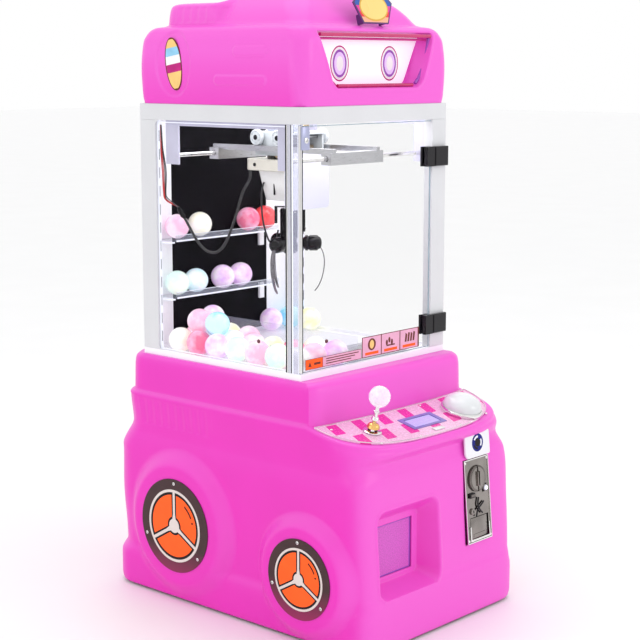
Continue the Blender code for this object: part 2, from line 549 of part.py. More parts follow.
def finger_blade(n=9):
    """Centre line of a finger in its own radial plane: (radius, z)."""
    pts = [(0.062, 0.786), (0.071, 0.773), (0.0755, 0.757), (0.0760, 0.740), (0.0735, 0.722), (0.0690, 0.706), (0.0625, 0.692), (0.0550, 0.682)]
    return pts


for i, az in enumerate(FINGER_AZ):
    R = CM @ Matrix.Rotation(math.radians(az), 4, "Z")
    k = turned("claw_finger_%d" % (i + 1), [(0, 0.0275), (0.006, 0.0275), (0.0125, 0.0300), (0.0145, 0.034), (0.0145, 0.062), (0.0125, 0.0670), (0.006, 0.0700), (0, 0.0705)],
               BLACK, seg=16, mx=R @ Matrix.Translation((0, 0, FINGER_Z)) @ Matrix.Rotation(math.pi / 2, 4, "Y"))
    rings = []
    bl = finger_blade()
    for j, (r, z) in enumerate(bl):
        a, b = bl[max(j - 1, 0)], bl[min(j + 1, len(bl) - 1)]
        t = Vector((b[0] - a[0], b[1] - a[1])).normalized()
        nrm = Vector((t[1], -t[0])) * 0.0013
        w = 0.0045 if j < 6 else 0.0035
        rings.append([(r + nrm.x, -w, z + nrm.y), (r + nrm.x, w, z + nrm.y), (r - nrm.x, w, z - nrm.y), (r - nrm.x, -w, z - nrm.y)])
    join(k, loft("blade_%d" % i, rings, STEEL, mx=R))

# ------------------------------------------------------------------ cords
tube("hoist_cord", [(HX, HY, z) for z in (0.8847, 0.8805, 0.8765, 0.8725, 0.8683)], 0.0012, BLACK)

# control cable: plug on the rear left post, a hanging loop, and up to the hoist band.
# It is in two lengths that meet at the lowest point of the loop.
CABLE_R = 0.0030
CABLE = [(-0.1975, 0.1900, 0.8480), (-0.1905, 0.1835, 0.8300), (-0.1790, 0.1725, 0.8000), (-0.1660, 0.1600, 0.7785), (-0.1520, 0.1480, 0.7715),
         (-0.1380, 0.1385, 0.7785), (-0.1240, 0.1300, 0.8040), (-0.1080, 0.1215, 0.8520), (-0.0930, 0.1150, 0.9020), (-0.0765, 0.1095, 0.9300), (-0.0750, 0.1090, 0.9487)]
route = smooth_route(CABLE, 41)
low = min(range(len(route)), key=lambda i: route[i].z)
along = (route[low + 1] - route[low - 1]).normalized()
tube("cable_left", route[:low] + [route[low] - along * 0.0015, route[low] - along * GAP / 2], CABLE_R, BLACK)
tube("cable_right", [route[low] + along * GAP / 2, route[low] + along * 0.0015] + route[low + 1:], CABLE_R, BLACK)
plug_dir = (route[0] - route[1]).normalized()
plug_mid = route[0] + plug_dir * (GAP + 0.014)
plug_mx = Matrix.Translation(plug_mid) @ plug_dir.to_track_quat("Z", "Y").to_matrix().to_4x4()
box("cable_plug", (-0.009, -0.0055, -0.014), (0.009, 0.0055, 0.014), BLACK, bevel=0.0015, seg=1, mx=plug_mx)
LEAD = [(-0.0668, 0.0750, 0.9250), (-0.0705, 0.0790, 0.9000), (-0.0640, 0.0830, 0.8480), (-0.0520, 0.0815, 0.8060), (-0.0430, 0.0765, 0.7890),
        (-0.0345, 0.0705, 0.7960), (-0.0306, 0.0672, 0.8180)]
tube("claw_lead", smooth_route(LEAD, 26), 0.0020, BLACK)

# ------------------------------------------------------------------ roof
def roof_outline(g, r):
    hx, y0, y1 = 0.236 + g, -0.192 - g, 0.288 + g
    pts = []
    for cx, cy, a0 in ((hx - r, y1 - r, 0), (-hx + r, y1 - r, 90), (-hx + r, y0 + r, 180), (hx - r, y0 + r, 270)):
        for a in (0, 30, 60, 90):
            pts.append((cx + r * math.cos(math.radians(a0 + a)), cy + r * math.sin(math.radians(a0 + a))))
    return pts


ROOF = [(0.000, 1.0960, 0.030), (0.003, 1.112, 0.032), (0.006, 1.175, 0.036), (0.003, 1.225, 0.038), (-0.004, 1.245, 0.040), (-0.014, 1.2555, 0.042),
        (-0.030, 1.2590, 0.044), (-0.034, 1.268, 0.046), (-0.038, 1.292, 0.048), (-0.048, 1.304, 0.048), (-0.070, 1.3085, 0.048), (-0.092, 1.324, 0.048),
        (-0.122, 1.3335, 0.048), (-0.160, ROOF_TOP, 0.048)]
rings = [[(x, y, z) for x, y in roof_outline(g, r)] for g, z, r in ROOF]
roof = loft("roof_shell", rings, PINK, close_ends=False)
bm = bmesh.new()
bm.from_mesh(roof.data)
top = [e for e in bm.edges if e.is_boundary and e.verts[0].co.z > ROOF_TOP - 1e-4]
bmesh.ops.contextual_create(bm, geom=top)
bmesh.ops.recalc_face_normals(bm, faces=bm.faces)
if sum(f.normal.z * f.calc_area() for f in bm.faces) < 0:
    bmesh.ops.reverse_faces(bm, faces=bm.faces)
bm.to_mesh(roof.data)
bm.free()
sol = roof.modifiers.new("wall", "SOLIDIFY")
sol.thickness = WALL
sol.offset = -1.0
sol.use_even_offset = True
sol.use_rim = True


def trap(t0, b0, z0, z1, y):
    return [(-b0, y, z0), (b0, y, z0), (t0, y, z1), (-t0, y, z1)]


cut(roof, loft("cut_lamp", [trap(0.186, 0.140, 1.130, 1.246, -0.23), trap(0.186, 0.140, 1.130, 1.246, -0.185)], PINK))
lamp_rings = [trap(0.190, 0.144, 1.126, 1.250, -0.1940), trap(0.180, 0.133, 1.132, 1.2440, -0.1570), trap(0.164, 0.118, 1.1405, 1.2350, -0.1570),
              trap(0.164, 0.118, 1.1405, 1.2350, -0.1600), trap(0.176, 0.129, 1.136, 1.2400, -0.1600), trap(0.186, 0.140, 1.130, 1.246, -0.1940)]
join(roof, loft("lamp_tray", lamp_rings, PINK, close_loop=True))
loft("light_panel", [trap(0.175, 0.128, 1.1365, 1.2395, -0.1566), trap(0.175, 0.128, 1.1365, 1.2395, -0.1536)], ("diffuser", (0.95, 0.95, 0.98), 0.4, 0.0))
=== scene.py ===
# Looks for the claw crane machine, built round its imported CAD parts.
import json
import math
import bpy
import bmesh
import numpy as np
from mathutils import Matrix, Vector
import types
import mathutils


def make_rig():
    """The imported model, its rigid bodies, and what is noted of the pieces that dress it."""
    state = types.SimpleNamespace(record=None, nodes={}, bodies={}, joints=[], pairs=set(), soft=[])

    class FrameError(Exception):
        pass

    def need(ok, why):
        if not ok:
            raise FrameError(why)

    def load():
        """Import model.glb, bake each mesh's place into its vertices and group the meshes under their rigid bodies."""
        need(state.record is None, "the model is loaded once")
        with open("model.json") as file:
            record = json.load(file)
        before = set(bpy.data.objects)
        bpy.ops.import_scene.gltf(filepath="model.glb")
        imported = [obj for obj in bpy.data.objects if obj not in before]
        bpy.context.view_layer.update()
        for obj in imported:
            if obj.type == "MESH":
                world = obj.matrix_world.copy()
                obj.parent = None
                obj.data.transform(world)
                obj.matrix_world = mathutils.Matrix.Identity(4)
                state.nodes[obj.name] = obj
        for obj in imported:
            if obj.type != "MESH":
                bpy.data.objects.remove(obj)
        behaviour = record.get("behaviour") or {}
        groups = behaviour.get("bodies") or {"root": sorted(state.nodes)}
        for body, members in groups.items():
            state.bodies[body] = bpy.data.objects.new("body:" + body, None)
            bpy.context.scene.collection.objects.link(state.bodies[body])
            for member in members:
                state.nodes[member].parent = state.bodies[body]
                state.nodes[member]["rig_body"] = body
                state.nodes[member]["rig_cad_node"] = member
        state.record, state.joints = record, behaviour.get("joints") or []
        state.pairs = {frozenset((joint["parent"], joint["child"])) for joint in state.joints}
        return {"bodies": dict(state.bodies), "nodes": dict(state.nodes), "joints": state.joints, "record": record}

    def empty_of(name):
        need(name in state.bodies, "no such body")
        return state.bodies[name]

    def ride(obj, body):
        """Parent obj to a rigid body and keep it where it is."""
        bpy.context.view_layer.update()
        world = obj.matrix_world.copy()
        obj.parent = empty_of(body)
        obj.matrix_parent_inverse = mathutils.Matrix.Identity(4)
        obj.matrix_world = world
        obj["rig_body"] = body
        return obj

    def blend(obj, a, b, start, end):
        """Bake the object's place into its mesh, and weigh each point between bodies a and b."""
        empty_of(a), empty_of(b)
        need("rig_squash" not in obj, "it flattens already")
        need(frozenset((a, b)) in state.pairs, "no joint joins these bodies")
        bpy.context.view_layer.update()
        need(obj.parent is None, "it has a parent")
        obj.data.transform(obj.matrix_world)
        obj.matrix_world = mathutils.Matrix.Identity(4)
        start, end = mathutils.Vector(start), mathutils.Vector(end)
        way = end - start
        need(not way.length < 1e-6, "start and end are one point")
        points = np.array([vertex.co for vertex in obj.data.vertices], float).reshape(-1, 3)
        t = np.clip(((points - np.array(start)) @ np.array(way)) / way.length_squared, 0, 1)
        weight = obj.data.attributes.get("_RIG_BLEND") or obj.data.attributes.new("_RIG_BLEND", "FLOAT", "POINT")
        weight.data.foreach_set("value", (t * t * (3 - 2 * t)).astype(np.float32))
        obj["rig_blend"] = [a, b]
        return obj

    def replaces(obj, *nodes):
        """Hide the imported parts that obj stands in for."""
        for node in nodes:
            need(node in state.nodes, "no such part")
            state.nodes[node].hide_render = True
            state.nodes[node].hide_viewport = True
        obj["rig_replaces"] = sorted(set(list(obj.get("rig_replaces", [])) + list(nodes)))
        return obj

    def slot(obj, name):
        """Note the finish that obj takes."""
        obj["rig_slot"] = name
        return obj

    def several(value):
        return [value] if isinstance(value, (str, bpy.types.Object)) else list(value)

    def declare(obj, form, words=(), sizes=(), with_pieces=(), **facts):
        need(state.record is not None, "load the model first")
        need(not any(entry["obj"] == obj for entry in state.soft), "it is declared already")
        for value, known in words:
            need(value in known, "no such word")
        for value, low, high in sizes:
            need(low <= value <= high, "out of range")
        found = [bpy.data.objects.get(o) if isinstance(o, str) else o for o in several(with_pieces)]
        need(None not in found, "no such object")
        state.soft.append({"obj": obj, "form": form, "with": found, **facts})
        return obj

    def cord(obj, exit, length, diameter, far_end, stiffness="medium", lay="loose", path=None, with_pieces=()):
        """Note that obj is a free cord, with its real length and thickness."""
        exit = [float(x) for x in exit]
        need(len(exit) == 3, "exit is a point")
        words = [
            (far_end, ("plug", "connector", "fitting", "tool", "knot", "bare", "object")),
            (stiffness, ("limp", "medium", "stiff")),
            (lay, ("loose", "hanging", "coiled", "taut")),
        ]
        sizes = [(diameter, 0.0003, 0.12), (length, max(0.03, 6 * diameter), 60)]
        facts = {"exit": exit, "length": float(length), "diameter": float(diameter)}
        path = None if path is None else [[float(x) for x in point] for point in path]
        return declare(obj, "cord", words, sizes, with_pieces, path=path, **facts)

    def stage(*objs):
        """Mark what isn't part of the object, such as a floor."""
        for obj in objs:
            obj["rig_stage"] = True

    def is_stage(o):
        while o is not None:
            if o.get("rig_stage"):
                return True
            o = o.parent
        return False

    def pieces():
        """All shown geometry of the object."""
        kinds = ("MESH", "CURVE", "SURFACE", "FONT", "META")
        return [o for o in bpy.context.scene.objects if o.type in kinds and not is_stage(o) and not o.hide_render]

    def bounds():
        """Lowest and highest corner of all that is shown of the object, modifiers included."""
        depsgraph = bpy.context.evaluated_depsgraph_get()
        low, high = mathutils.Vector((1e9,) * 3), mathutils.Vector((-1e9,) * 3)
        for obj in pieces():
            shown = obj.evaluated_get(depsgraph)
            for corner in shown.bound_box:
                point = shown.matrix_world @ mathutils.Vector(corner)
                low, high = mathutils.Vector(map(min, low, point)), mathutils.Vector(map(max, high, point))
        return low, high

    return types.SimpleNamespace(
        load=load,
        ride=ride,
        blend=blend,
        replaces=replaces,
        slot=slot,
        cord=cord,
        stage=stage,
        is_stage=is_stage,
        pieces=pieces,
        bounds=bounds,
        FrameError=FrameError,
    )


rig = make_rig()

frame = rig.load()
cad_lo, cad_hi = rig.bounds()
cad_box = [list(cad_lo), list(cad_hi)]
NODES = frame["nodes"]
SCENE = bpy.context.scene

# ------------------------------------------------------------------ shared dimensions, as in the CAD
BASE_HX, BASE_YF, BASE_YB = 0.2625, 0.385, 0.385
FRONT_YC = -0.2255
ARCH_X = 0.2815
WHEELS = {"front": (-0.227, 0.143, 0.0855), "rear": (0.145, 0.180, 0.105)}
LEDGE_Z = 0.5424
DECK_SLOPE = 0.252
DECK_TILT = math.atan(DECK_SLOPE)
SILL_Z, HEAD_Z = 0.556, 1.061
HX, HY = -0.013, 0.048
JOY = (-0.146, -0.306)
BUTTON = (0.139, -0.3170)
LCD = (0.006, -0.3150)
COIN_MX = Matrix.Translation((0.126, -0.3745, 0.255)) @ Matrix.Rotation(math.radians(-5.1), 4, "X")
RECESS = (-0.205, -0.008, 0.108, 0.292)
RECESS_BACK = (-0.180, -0.033, 0.125, 0.262)
RECESS_Y = -0.333
WINDOW = (-0.164, -0.049, 0.137, 0.248)
ROOF_TOP = 1.335
FINGER_AZ = (-47.8, 72.2, 192.2)
FINGER_R, FINGER_Z = 0.030, 0.789


def deck_z(y):
    return 0.459 + DECK_SLOPE * (y + 0.235)


def deck_mx(x, y):
    return Matrix.Translation((x, y, deck_z(y))) @ Matrix.Rotation(DECK_TILT, 4, "X")


def srgb(r, g, b):
    return tuple(((c / 255 / 12.92) if c / 255 <= 0.04045 else ((c / 255 + 0.055) / 1.055) ** 2.4) for c in (r, g, b))


def smooth(t):
    t = min(max(t, 0.0), 1.0)
    return t * t * (3 - 2 * t)


def curve_through(xs, ys):
    """Monotone cubic through the knots."""
    h = [xs[i + 1] - xs[i] for i in range(len(xs) - 1)]
    d = [(ys[i + 1] - ys[i]) / h[i] for i in range(len(h))]
    m = [d[0]] + [0.0 if d[i - 1] * d[i] <= 0 else 2 * d[i - 1] * d[i] / (d[i - 1] + d[i]) for i in range(1, len(d))] + [d[-1]]

    def f(x):
        if x <= xs[0]:
            return ys[0]
        if x >= xs[-1]:
            return ys[-1]
        i = max(k for k in range(len(h)) if xs[k] <= x)
        t = (x - xs[i]) / h[i]
        return ((1 + 2 * t) * (1 - t) ** 2 * ys[i] + t * (1 - t) ** 2 * h[i] * m[i]
                + t * t * (3 - 2 * t) * ys[i + 1] + t * t * (t - 1) * h[i] * m[i + 1])
    return f


# ------------------------------------------------------------------ camera
back = Vector((math.sin(math.radians(-47.8)) * math.cos(math.radians(9.5)), -math.cos(math.radians(-47.8)) * math.cos(math.radians(9.5)), math.sin(math.radians(9.5))))
cam_data = bpy.data.cameras.new("camera")
cam_data.lens, cam_data.sensor_width = 86.4, 36.0
cam_data.dof.use_dof = False
cam_data.clip_start, cam_data.clip_end = 0.05, 60.0
camera = bpy.data.objects.new("camera", cam_data)
camera.location = (-2.476, -2.275, 1.182)
camera.rotation_mode = "QUATERNION"
camera.rotation_quaternion = (-back).to_track_quat("-Z", "Y")
SCENE.collection.objects.link(camera)
SCENE.camera = camera


# ------------------------------------------------------------------ materials
MATS = {}


def look(name, rgb, rough=0.35, metal=0.0, coat=0.0, var=0.05, scale=9.0, bump=0.04, grain=420.0, rough_var=0.08, alpha=1.0,
         emit=0.0, emit_rgb=None, spec=0.5, stretch=None, subsurface=0.0, transmission=0.0, ior=1.5, coat_rough=0.05):
    """One finish: colour mottled at one scale, roughness at another, and a fine surface grain."""
    if name in MATS:
        return MATS[name]
    m = bpy.data.materials.new(name)
    m.use_nodes = True
    nt = m.node_tree
    b = nt.nodes["Principled BSDF"]
    tc = nt.nodes.new("ShaderNodeTexCoord")
    src = tc.outputs["Object"]
    if stretch:
        mp = nt.nodes.new("ShaderNodeMapping")
        mp.inputs["Scale"].default_value = stretch
        nt.links.new(src, mp.inputs["Vector"])
        src = mp.outputs["Vector"]
    n1 = nt.nodes.new("ShaderNodeTexNoise")
    n1.inputs["Scale"].default_value = scale
    n1.inputs["Detail"].default_value = 3.0
    nt.links.new(src, n1.inputs["Vector"])
    ramp = nt.nodes.new("ShaderNodeValToRGB")
    ramp.color_ramp.elements[0].position, ramp.color_ramp.elements[1].position = 0.30, 0.70
    ramp.color_ramp.elements[0].color = (*[max(c * (1 - var), 0) for c in rgb], 1)
    ramp.color_ramp.elements[1].color = (*[min(c * (1 + var), 1) for c in rgb], 1)
    nt.links.new(n1.outputs["Fac"], ramp.inputs["Fac"])
    nt.links.new(ramp.outputs["Color"], b.inputs["Base Color"])
    n2 = nt.nodes.new("ShaderNodeTexNoise")
    n2.inputs["Scale"].default_value = grain
    n2.inputs["Detail"].default_value = 2.0
    nt.links.new(src, n2.inputs["Vector"])
    mr = nt.nodes.new("ShaderNodeMapRange")
    mr.inputs["To Min"].default_value = max(rough - rough_var, 0.02)
    mr.inputs["To Max"].default_value = min(rough + rough_var, 1.0)
    nt.links.new(n1.outputs["Fac"], mr.inputs["Value"])
    nt.links.new(mr.outputs["Result"], b.inputs["Roughness"])
    if bump:
        bp = nt.nodes.new("ShaderNodeBump")
        bp.inputs["Strength"].default_value = bump
        bp.inputs["Distance"].default_value = 0.0006
        nt.links.new(n2.outputs["Fac"], bp.inputs["Height"])
        nt.links.new(bp.outputs["Normal"], b.inputs["Normal"])
    b.inputs["Metallic"].default_value = metal
    b.inputs["Coat Weight"].default_value = coat
    b.inputs["Coat Roughness"].default_value = coat_rough
    b.inputs["Specular IOR Level"].default_value = spec
    b.inputs["Alpha"].default_value = alpha
    b.inputs["IOR"].default_value = ior
    b.inputs["Transmission Weight"].default_value = transmission
    b.inputs["Subsurface Weight"].default_value = subsurface
    b.inputs["Subsurface Radius"].default_value = (0.02, 0.008, 0.014)
    if emit:
        b.inputs["Emission Color"].default_value = (*(emit_rgb or rgb), 1)
        b.inputs["Emission Strength"].default_value = emit
    MATS[name] = m
    return m


PINK_RGB = srgb(246, 66, 203)
# its small pink emission is a painted glow that flattens the shading; the moulding is no lamp
pink = look("pink_moulding", (0.79, 0.021, 0.49), rough=0.36, coat=0.10, var=0.03, scale=5.0, bump=0.05, grain=260.0, emit=0.045, emit_rgb=(1.0, 0.08, 0.55), coat_rough=0.15, spec=0.36)


def painted_light_front_top(m, pale):
    """Painted light: mix the base colour towards a paler one on front and top faces and above the cabinet."""
    nt = m.node_tree
    b = nt.nodes["Principled BSDF"]
    ramp = [n for n in nt.nodes if n.type == "VALTORGB"][0]
    tc = [n for n in nt.nodes if n.type == "TEX_COORD"][0]
    sn = nt.nodes.new("ShaderNodeSeparateXYZ")
    nt.links.new(tc.outputs["Normal"], sn.inputs["Vector"])
    sp = nt.nodes.new("ShaderNodeSeparateXYZ")
    nt.links.new(tc.outputs["Object"], sp.inputs["Vector"])

    def op(kind, a, bb):
        n = nt.nodes.new("ShaderNodeMath")
        n.operation = kind
        for i, v in enumerate((a, bb)):
            if isinstance(v, (int, float)):
                n.inputs[i].default_value = v
            else:
                nt.links.new(v, n.inputs[i])
        return n.outputs[0]
    front = op("MULTIPLY", op("MAXIMUM", op("MULTIPLY", sn.outputs["Y"], -1.0), 0.0), 0.85)
    top = op("MULTIPLY", op("MAXIMUM", sn.outputs["Z"], 0.0), 0.90)
    mr = nt.nodes.new("ShaderNodeMapRange")
    mr.inputs["From Min"].default_value, mr.inputs["From Max"].default_value = 1.05, 1.22
    mr.inputs["To Min"].default_value, mr.inputs["To Max"].default_value = 0.0, 1.0
    nt.links.new(sp.outputs["Z"], mr.inputs["Value"])
    f = op("MINIMUM", op("ADD", op("MAXIMUM", front, top), mr.outputs["Result"]), 1.0)
    mix = nt.nodes.new("ShaderNodeMix")
    mix.data_type = "RGBA"
    mix.inputs[7].default_value = (*pale, 1)
    nt.links.new(f, mix.inputs[0])
    nt.links.new(ramp.outputs["Color"], mix.inputs[6])
    nt.links.new(mix.outputs[2], b.inputs["Base Color"])


# pink painted paler on front- and up-facing faces and on the roof: painted light
painted_light_front_top(pink, (0.84, 0.115, 0.635))
# darker pink for strips of painted shade
shade_pink = look("pink_shadow", (0.62, 0.010, 0.26), rough=0.35, coat=0.3, var=0.05)
white_paint = look("white_paint", (0.71, 0.715, 0.74), rough=0.42, var=0.02, scale=14.0, bump=0.10, grain=900.0)
# lit copy of the white paint, paler and with a painted glow, for faces inside the cabinet
white_in = look("white_inside", (0.86, 0.86, 0.90), rough=0.45, var=0.02, scale=14.0, bump=0.08, grain=900.0, emit=0.12, emit_rgb=(0.95, 0.94, 1.0))
white_gloss = look("white_gloss", (0.80, 0.80, 0.79), rough=0.25, coat=0.3, var=0.03, scale=20.0, bump=0.03)
beige = look("beige_moulding", (0.62, 0.60, 0.53), rough=0.35, coat=0.2, var=0.04, scale=30.0, bump=0.04)
black_satin = look("black_satin", (0.010, 0.009, 0.012), rough=0.38, spec=0.25, var=0.2, scale=40.0, bump=0.10, grain=1400.0)
black_gloss = look("black_gloss", (0.006, 0.0045, 0.007), rough=0.20, spec=0.25, coat=0.15, var=0.2, scale=40.0, bump=0.02)
black_back = look("black_back", (0.0055, 0.0045, 0.0065), rough=0.60, var=0.5, scale=30.0, bump=0.10, grain=220.0, spec=0.06)
grey_paint = look("grey_paint", (0.26, 0.27, 0.30), rough=0.40, var=0.06, scale=25.0, bump=0.10, grain=900.0)
grey_roller = look("grey_roller", (0.47, 0.50, 0.52), rough=0.35, var=0.05, scale=60.0, bump=0.05)
lilac_sheet = look("lilac_sheet", (0.60, 0.59, 0.74), rough=0.35, var=0.06, scale=18.0, bump=0.06)
chrome = look("polished_metal", (0.80, 0.79, 0.78), rough=0.10, metal=1.0, var=0.06, scale=50.0, bump=0.02, rough_var=0.05)
# darkened brownish base colour is a painted reflection of dark surroundings in the polished coin face
face_metal_painted_reflection = look("coin_face_metal", (0.27, 0.245, 0.23), rough=0.14, metal=1.0, var=0.16, scale=26.0, bump=0.05, grain=500.0, rough_var=0.10)
steel = look("brushed_metal", (0.52, 0.52, 0.54), rough=0.30, metal=1.0, var=0.08, scale=90.0, bump=0.10, grain=700.0, stretch=(1, 1, 12))
alu = look("anodised_metal", (0.62, 0.62, 0.70), rough=0.26, metal=0.9, var=0.05, scale=60.0, bump=0.05, stretch=(14, 14, 1))
gold = look("motor_metal", (0.40, 0.30, 0.18), rough=0.32, metal=0.9, var=0.22, scale=80.0, bump=0.08)
brass_hot = look("warm_metal", (0.86, 0.52, 0.18), rough=0.16, metal=1.0, var=0.10, scale=60.0, bump=0.02)
glass = look("clear_glass", (0.05, 0.06, 0.08), rough=0.03, var=0.01, bump=0.0, rough_var=0.01, alpha=0.012, spec=0.30)
glass_edge = look("glass_edge", (0.32, 0.42, 0.50), rough=0.10, var=0.10, scale=30.0, bump=0.0, alpha=0.75, spec=0.8)
acrylic = look("clear_acrylic", (0.62, 0.66, 0.80), rough=0.05, var=0.02, bump=0.0, rough_var=0.02, alpha=0.16, spec=0.7)
# near-white clear edges with a glow: painted highlights on acrylic edges
acrylic_edge_highlight = look("acrylic_edge_highlight", (0.86, 0.88, 0.98), rough=0.10, var=0.04, bump=0.0, alpha=0.85, spec=0.8, emit=0.25, emit_rgb=(0.9, 0.92, 1.0))
opal = look("opal_panel", (0.85, 0.83, 0.88), rough=0.35, var=0.02, bump=0.02, emit=0.30, emit_rgb=(1.0, 0.97, 1.0))
tube_light = look("tube_light", (1.0, 1.0, 1.0), rough=0.4, var=0.01, bump=0.0, emit=1.5, emit_rgb=(1.0, 0.99, 1.0))
magenta = look("magenta_trim", (0.55, 0.004, 0.13), rough=0.25, coat=0.5, var=0.10, scale=30.0)
violet = look("violet_trim", (0.36, 0.055, 0.50), rough=0.25, coat=0.4, var=0.10, scale=30.0)
ink_purple = look("ink_purple", (0.34, 0.10, 0.52), rough=0.35, var=0.10, scale=60.0, spec=0.15)
ink_rose = look("ink_rose", (0.55, 0.02, 0.22), rough=0.35, var=0.10, scale=60.0, spec=0.15)
ink_lilac = look("ink_lilac", (0.72, 0.50, 0.86), rough=0.35, var=0.06, scale=60.0, emit=0.2)
ink_white = look("ink_white", (0.93, 0.92, 0.93), rough=0.35, var=0.03, scale=60.0)
ink_black = look("ink_black", (0.014, 0.008, 0.008), rough=0.35, var=0.2, scale=60.0, spec=0.15)
# the orange ink carries a small painted glow to brighten it
ink_orange = look("ink_orange", (0.94, 0.12, 0.020), rough=0.35, var=0.05, scale=40.0, spec=0.10, emit=0.26, emit_rgb=(1.0, 0.07, 0.01))
ink_yellow = look("ink_yellow", (0.95, 0.62, 0.22), rough=0.35, var=0.05, scale=60.0, spec=0.15)
ink_blue = look("ink_blue", (0.012, 0.015, 0.20), rough=0.35, var=0.15, scale=60.0, spec=0.15)
ink_cyan = look("ink_cyan", (0.30, 0.62, 0.86), rough=0.35, var=0.08, scale=60.0, spec=0.15)
ink_pinkish = look("ink_pinkish", (0.84, 0.46, 0.62), rough=0.40, var=0.06, scale=60.0, spec=0.15)
ink_brown = look("ink_brown", (0.16, 0.040, 0.028), rough=0.40, var=0.10, scale=60.0, spec=0.15)
red_wire = look("red_wire", (0.55, 0.03, 0.03), rough=0.40, var=0.10, scale=60.0)
cord_black = look("cord_black", (0.020, 0.019, 0.022), rough=0.30, coat=0.15, var=0.15, scale=120.0, bump=0.06)
pearl = look("pearl_dome", (0.70, 0.72, 0.74), rough=0.22, coat=0.5, var=0.10, scale=16.0, bump=0.0, emit=0.05, emit_rgb=(0.93, 1.0, 0.99))
lcd_look = look("display_window", (0.52, 0.46, 0.88), rough=0.25, coat=0.15, var=0.08, scale=900.0, bump=0.0, emit=0.12, emit_rgb=(0.60, 0.46, 1.0))
# the flap's faint violet glow is painted light
flap_look = look("flap_plastic", (0.64, 0.11, 0.55), rough=0.40, coat=0.05, var=0.22, scale=380.0, bump=0.35, grain=420.0, alpha=0.96, emit=0.05, emit_rgb=(0.75, 0.35, 1.0), spec=0.25)


def wheel_brown():
    """Translucent brown disc, pinker towards its lower edge."""
    m = look("wheel_disc_tint", (0.055, 0.024, 0.026), rough=0.22, coat=0.08, var=0.10, scale=30.0)
    nt = m.node_tree
    b = nt.nodes["Principled BSDF"]
    ramp = [n for n in nt.nodes if n.type == "VALTORGB"][0]
    tc = [n for n in nt.nodes if n.type == "TEX_COORD"][0]
    sx = nt.nodes.new("ShaderNodeSeparateXYZ")
    nt.links.new(tc.outputs["Object"], sx.inputs["Vector"])
    # lower edges of the discs lie near z 0.06 to 0.08
    mr = nt.nodes.new("ShaderNodeMapRange")
    mr.inputs["From Min"].default_value, mr.inputs["From Max"].default_value = 0.052, 0.135
    mr.inputs["To Min"].default_value, mr.inputs["To Max"].default_value = 0.48, 0.0
    nt.links.new(sx.outputs["Z"], mr.inputs["Value"])
    mix = nt.nodes.new("ShaderNodeMix")
    mix.data_type = "RGBA"
    mix.inputs[7].default_value = (0.62, 0.02, 0.20, 1)
    nt.links.new(mr.outputs["Result"], mix.inputs[0])
    nt.links.new(ramp.outputs["Color"], mix.inputs[6])
    nt.links.new(mix.outputs[2], b.inputs["Base Color"])
    return m


def deck_print():
    """Sparkly pale sheet with two rows of slanted magenta blocks; the white specks are painted glints for its sparkle,
    and it has a faint painted glow.
    """
    m = look("deck_print", (0.86, 0.50, 0.72), rough=0.26, coat=0.2, var=0.10, scale=220.0, bump=0.0, emit=0.02, emit_rgb=(1.0, 0.7, 0.9), spec=0.3)
    nt = m.node_tree
    b = nt.nodes["Principled BSDF"]
    ramp = [n for n in nt.nodes if n.type == "VALTORGB"][0]
    tc = [n for n in nt.nodes if n.type == "TEX_COORD"][0]
    sx = nt.nodes.new("ShaderNodeSeparateXYZ")
    nt.links.new(tc.outputs["Object"], sx.inputs["Vector"])

    def op(kind, a, bb=None, c=None):
        n = nt.nodes.new("ShaderNodeMath")
        n.operation = kind
        for i, v in enumerate((a, bb, c)):
            if v is None:
                continue
            if isinstance(v, (int, float)):
                n.inputs[i].default_value = v
            else:
                nt.links.new(v, n.inputs[i])
        return n.outputs[0]
    x, y = sx.outputs["X"], sx.outputs["Y"]
    # the back edge is bowed, so the rows follow it
    bow = op("MULTIPLY_ADD", op("MULTIPLY", x, x), -0.16, 0.2505)
    depth = op("MULTIPLY", op("ADD", y, bow), -1.0)
    row = op("GREATER_THAN", depth, 0.052)
    u = op("ADD", op("MULTIPLY_ADD", depth, 0.30, x), op("MULTIPLY_ADD", row, 0.036, 0.2215))
    saw = op("FRACT", op("DIVIDE", u, 0.072))
    blk = op("LESS_THAN", saw, 0.40)
    inrow1 = op("MULTIPLY", op("GREATER_THAN", depth, 0.004), op("LESS_THAN", depth, 0.045))
    inrow2 = op("MULTIPLY", op("GREATER_THAN", depth, 0.058), op("LESS_THAN", depth, 0.098))
    mask = op("MULTIPLY", blk, op("ADD", inrow1, inrow2))
    mix = nt.nodes.new("ShaderNodeMix")
    mix.data_type = "RGBA"
    mix.inputs[7].default_value = (0.82, 0.020, 0.36, 1)
    nt.links.new(mask, mix.inputs[0])
    vor = nt.nodes.new("ShaderNodeTexVoronoi")
    vor.inputs["Scale"].default_value = 420.0
    nt.links.new(tc.outputs["Object"], vor.inputs["Vector"])
    # white specks: painted glints
    painted_glint = op("LESS_THAN", vor.outputs["Distance"], 0.22)
    mix2 = nt.nodes.new("ShaderNodeMix")
    mix2.data_type = "RGBA"
    mix2.inputs[7].default_value = (0.98, 0.90, 0.97, 1)
    nt.links.new(ramp.outputs["Color"], mix2.inputs[6])
    nt.links.new(op("MULTIPLY", painted_glint, 0.75), mix2.inputs[0])
    nt.links.new(mix2.outputs[2], mix.inputs[6])
    nt.links.new(mix.outputs[2], b.inputs["Base Color"])
    return m


